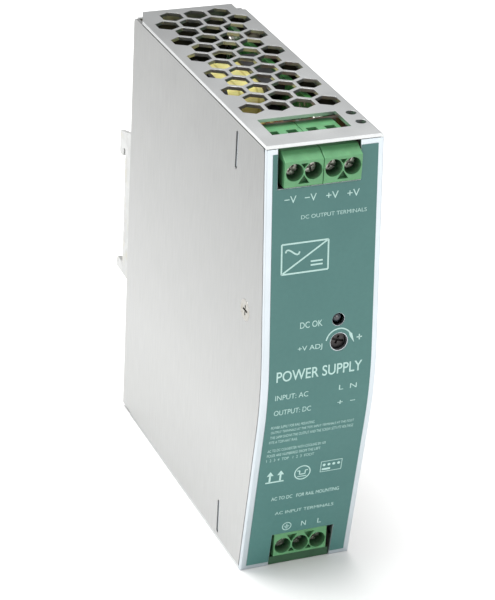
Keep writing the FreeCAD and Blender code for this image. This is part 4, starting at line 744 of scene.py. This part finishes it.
def add_printing(ink):
    """All printed marks on the film."""
    shapes = [(name, text_shape(words, height, width, weight), across, drop)
              for name, words, across, drop, height, width, weight in LETTERING]
    shapes += [("sign_converter", converter_symbol(), 10.9, 30.3),
               ("sign_turn", turn_arrow(), 21.0, 54.8),
               ("mark_plus", plus_sign(0.75, 0.32), 26.7, 54.2),
               ("sign_upright", upright_sign(), 6.6, 94.2),
               ("sign_rail", rail_sign(), 14.4, 94.2),
               ("sign_terminals", terminal_sign(), 22.6, 93.4),
               ("sign_earth", earth_symbol(), 12.1, 112.1)]
    for name, mesh, across, drop in shapes:
        lay_on_film(mesh, across, drop)
        mesh.name = name
        add_object("print_" + name, mesh, "case", ink)


# ---------------------------------------------------------------- wound wire

def wire_curve(name, points, radius, finish, replaced):
    """Round wire along a list of points."""
    curve = bpy.data.curves.new(name, "CURVE")
    curve.dimensions = "3D"
    curve.bevel_depth = radius
    curve.bevel_resolution = 3
    curve.use_fill_caps = True
    spline = curve.splines.new("POLY")
    spline.points.add(len(points) - 1)
    for target, point in zip(spline.points, points):
        target.co = (*point, 1.0)
    piece = add_object(name, curve, "case", finish)
    if replaced:
        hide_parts(replaced)
    return piece


def squared_loop(share, half_a, half_b, sharpness=0.42):
    """Point on a loop between a circle and a rectangle."""
    turn = 2 * math.pi * share
    c, s = math.cos(turn), math.sin(turn)
    return (half_a * math.copysign(abs(c) ** sharpness, c), half_b * math.copysign(abs(s) ** sharpness, s))


def wind_ring(finish):
    """Turns of thick wire round the ring core, with a gap at the board."""
    low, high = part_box("inductor_core")
    centre = (low + high) / 2
    outer, half_width = (high.z - low.z) / 2, (high.y - low.y) / 2
    inner, wire = outer * 0.5, 0.5 * MM
    turns, steps, sweep = 21, 26, 150.0
    middle, half_radial = (outer + inner) / 2, (outer - inner) / 2 + wire * 1.1
    points = []
    for index in range(turns * steps + 1):
        share = index / steps
        radial, side = squared_loop(share, half_radial, half_width + wire * 1.1)
        angle = math.radians(-sweep + 2 * sweep * share / turns)
        reach = middle + radial
        points.append((centre.x - reach * math.cos(angle), centre.y + side,
                       centre.z + reach * math.sin(angle)))
    wire_curve("inductor_wire", points, wire, finish, "inductor_winding")


def wind_choke(finish):
    """Two coils on opposite legs of the filter choke, each of close round turns."""
    low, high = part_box("choke_windings")
    wire, steps, turns = 0.36 * MM, 22, 13
    coil_length, coil_height = high.y - low.y, high.x - low.x
    coil_width = 8.4 * MM
    for index, centre_z in enumerate((low.z + coil_width / 2, high.z - coil_width / 2)):
        for layer, inset in enumerate((0.0, 1.2 * MM)):
            half_rise, half_side = coil_height / 2 - wire - inset, coil_width / 2 - wire - inset
            points = []
            for step in range(turns * steps + 1):
                share = step / steps
                rise, side = squared_loop(share, half_rise, half_side, 0.5)
                along = low.y + wire + (coil_length - 2 * wire) * share / turns
                points.append(((low.x + high.x) / 2 + rise, along, centre_z + side))
            wire_curve("choke_wire_%d_%d" % (index + 1, layer + 1), points, wire, finish,
                       "choke_windings" if index + layer == 0 else None)


# ---------------------------------------------------------------- small parts on the main board

BOARD_PARTS = [("chip_resistors", "black_plastic", 90, (1.0, 1.6, 0.5)),
               ("chip_capacitors", "box_film", 70, (0.8, 1.3, 0.7))]


def free_places(count, half_y, half_z, height, taken):
    """Seeded spots on the main board that clear everything already there."""
    low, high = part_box("main_board")
    margin = 0.4 * MM
    places = []
    for _ in range(count * 40):
        if len(places) == count:
            break
        y = random.uniform(low.y + half_y + margin, high.y - half_y - margin)
        z = random.uniform(low.z + half_z + margin, high.z - half_z - margin)
        spot = (low.x - height, low.x, y - half_y, y + half_y, z - half_z, z + half_z)
        if all(spot[1] < box[0] or spot[0] > box[1] or spot[3] + margin < box[2] or spot[2] - margin > box[3]
               or spot[5] + margin < box[4] or spot[4] - margin > box[5] for box in taken):
            places.append((y, z))
            taken.append(spot)
    return places


def add_board_parts(finishes):
    """Chip parts, set flat on the board's component face."""
    board_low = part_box("main_board")[0]
    taken = []
    for name in frame["nodes"]:
        if name in INSIDE_BOARD:
            low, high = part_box(name)
            taken.append((low.x, high.x, low.y, high.y, low.z, high.z))
    for name, slot, count, (length, width, height) in BOARD_PARTS:
        work = bmesh.new()
        half_y, half_z, rise = length / 2 * MM, width / 2 * MM, height * MM
        for y, z in free_places(count, half_y, half_z, rise, taken):
            place = Matrix.Translation((board_low.x - rise / 2, y, z))
            size = Matrix.Diagonal((rise, half_y * 2, half_z * 2, 1))
            bmesh.ops.create_cube(work, size=1.0, matrix=place @ size)
        add_object(name, finished_mesh(work, name, 0.12 * MM), "case", finishes[slot])


def add_catch_coil(finish):
    """The catch's spring, as its own copy of the CAD mesh riding on the case."""
    node = frame["nodes"]["latch_spring"]
    coil = add_object("catch_coil", node.data.copy(), "case", finish)
    coil.matrix_world = node.matrix_world.copy()
    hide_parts("latch_spring")
    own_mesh(coil)


def add_painted_shade_skirt(finish):
    """Set-back skirt that carries the input block's face down to the bottom of the case: a dark piece that
    stands for the shade under the block, in a darker copy of the block's green as painted shade.
    """
    low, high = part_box("input_terminal")
    foot = FLOOR + SKIRT_CLEARANCE
    upper = [(low.y + depth * MM, low.z + rise * MM) for depth, rise in SKIRT_OUTLINE]
    outline = [upper[0], (upper[0][0], foot), (upper[2][0], foot), upper[2], upper[1]]
    left, right = low.x - SKIRT_PAST_BLOCK[0], high.x + SKIRT_PAST_BLOCK[1]
    work = bmesh.new()
    add_prism(work, [(right, y, z) for y, z in outline], [(left, y, z) for y, z in outline])
    bmesh.ops.recalc_face_normals(work, faces=work.faces)
    mesh = finished_mesh(work, "painted_shade_skirt", 0.1 * MM)
    add_object("painted_shade_skirt", mesh, "case", finish)


# ---------------------------------------------------------------- stage, lights, camera

def aim(source, target):
    """Rotation that points an object's -Z at a target."""
    return (Vector(target) - Vector(source)).to_track_quat("-Z", "Y").to_euler()


def add_area_light(name, place, target, size, power):
    """Square soft light."""
    data = bpy.data.lights.new(name, "AREA")
    data.shape = "SQUARE"
    data.size = size
    data.energy = power
    lamp = bpy.data.objects.new(name, data)
    lamp.location = place
    lamp.rotation_euler = aim(place, target)
    bpy.context.scene.collection.objects.link(lamp)


def add_stage():
    """Pale floor under the case."""
    bpy.ops.mesh.primitive_plane_add(size=FLOOR_SIZE, location=(0, FLOOR_SHIFT, FLOOR))
    floor = bpy.context.object
    floor.name = "studio_floor"
    floor.data.materials.append(floor_finish())


def add_lights():
    """Even white surroundings, a large overhead key, and low fills from the front and side."""
    world = bpy.data.worlds.new("studio")
    bpy.context.scene.world = world
    world.use_nodes = True
    background = world.node_tree.nodes["Background"]
    background.inputs["Color"].default_value = (1.0, 1.0, 1.0, 1.0)
    background.inputs["Strength"].default_value = WORLD_STRENGTH
    centre = (cad_box[0] + cad_box[1]) / 2
    for name, place, size, power in LIGHTS:
        add_area_light(name, place, centre, size, power)


def add_camera():
    """Camera at the photograph's viewing angle."""
    azimuth, elevation, roll = (math.radians(a) for a in (CAMERA_AZIMUTH, CAMERA_ELEVATION, CAMERA_ROLL))
    forward = Vector((math.sin(azimuth) * math.cos(elevation), math.cos(azimuth) * math.cos(elevation),
                      -math.sin(elevation)))
    right = forward.cross(Vector((0, 0, 1))).normalized()
    up = right.cross(forward)
    level_right = right * math.cos(roll) + up * math.sin(roll)
    level_up = up * math.cos(roll) - right * math.sin(roll)
    data = bpy.data.cameras.new("camera")
    data.lens = CAMERA_LENS
    data.sensor_width = CAMERA_SENSOR
    data.clip_start = CAMERA_NEAR
    camera = bpy.data.objects.new("camera", data)
    turned = Matrix((level_right, level_up, -forward)).transposed().to_4x4()
    camera.matrix_world = Matrix.Translation(CAMERA_PLACE) @ turned
    bpy.context.scene.collection.objects.link(camera)
    bpy.context.scene.camera = camera


bpy.context.scene.view_settings.view_transform = "Standard"
finishes = make_materials()
dress_cad_nodes(finishes)
add_printing(screen_ink("print_ink", rgb(176, 208, 202)))
add_board_parts(finishes)
add_painted_shade_skirt(finishes["skirt_painted_shade"])
add_catch_coil(finishes["spring_steel"])
wind_ring(finishes["copper_wire"])
wind_choke(finishes["copper_wire"])
add_stage()
add_lights()
add_camera()
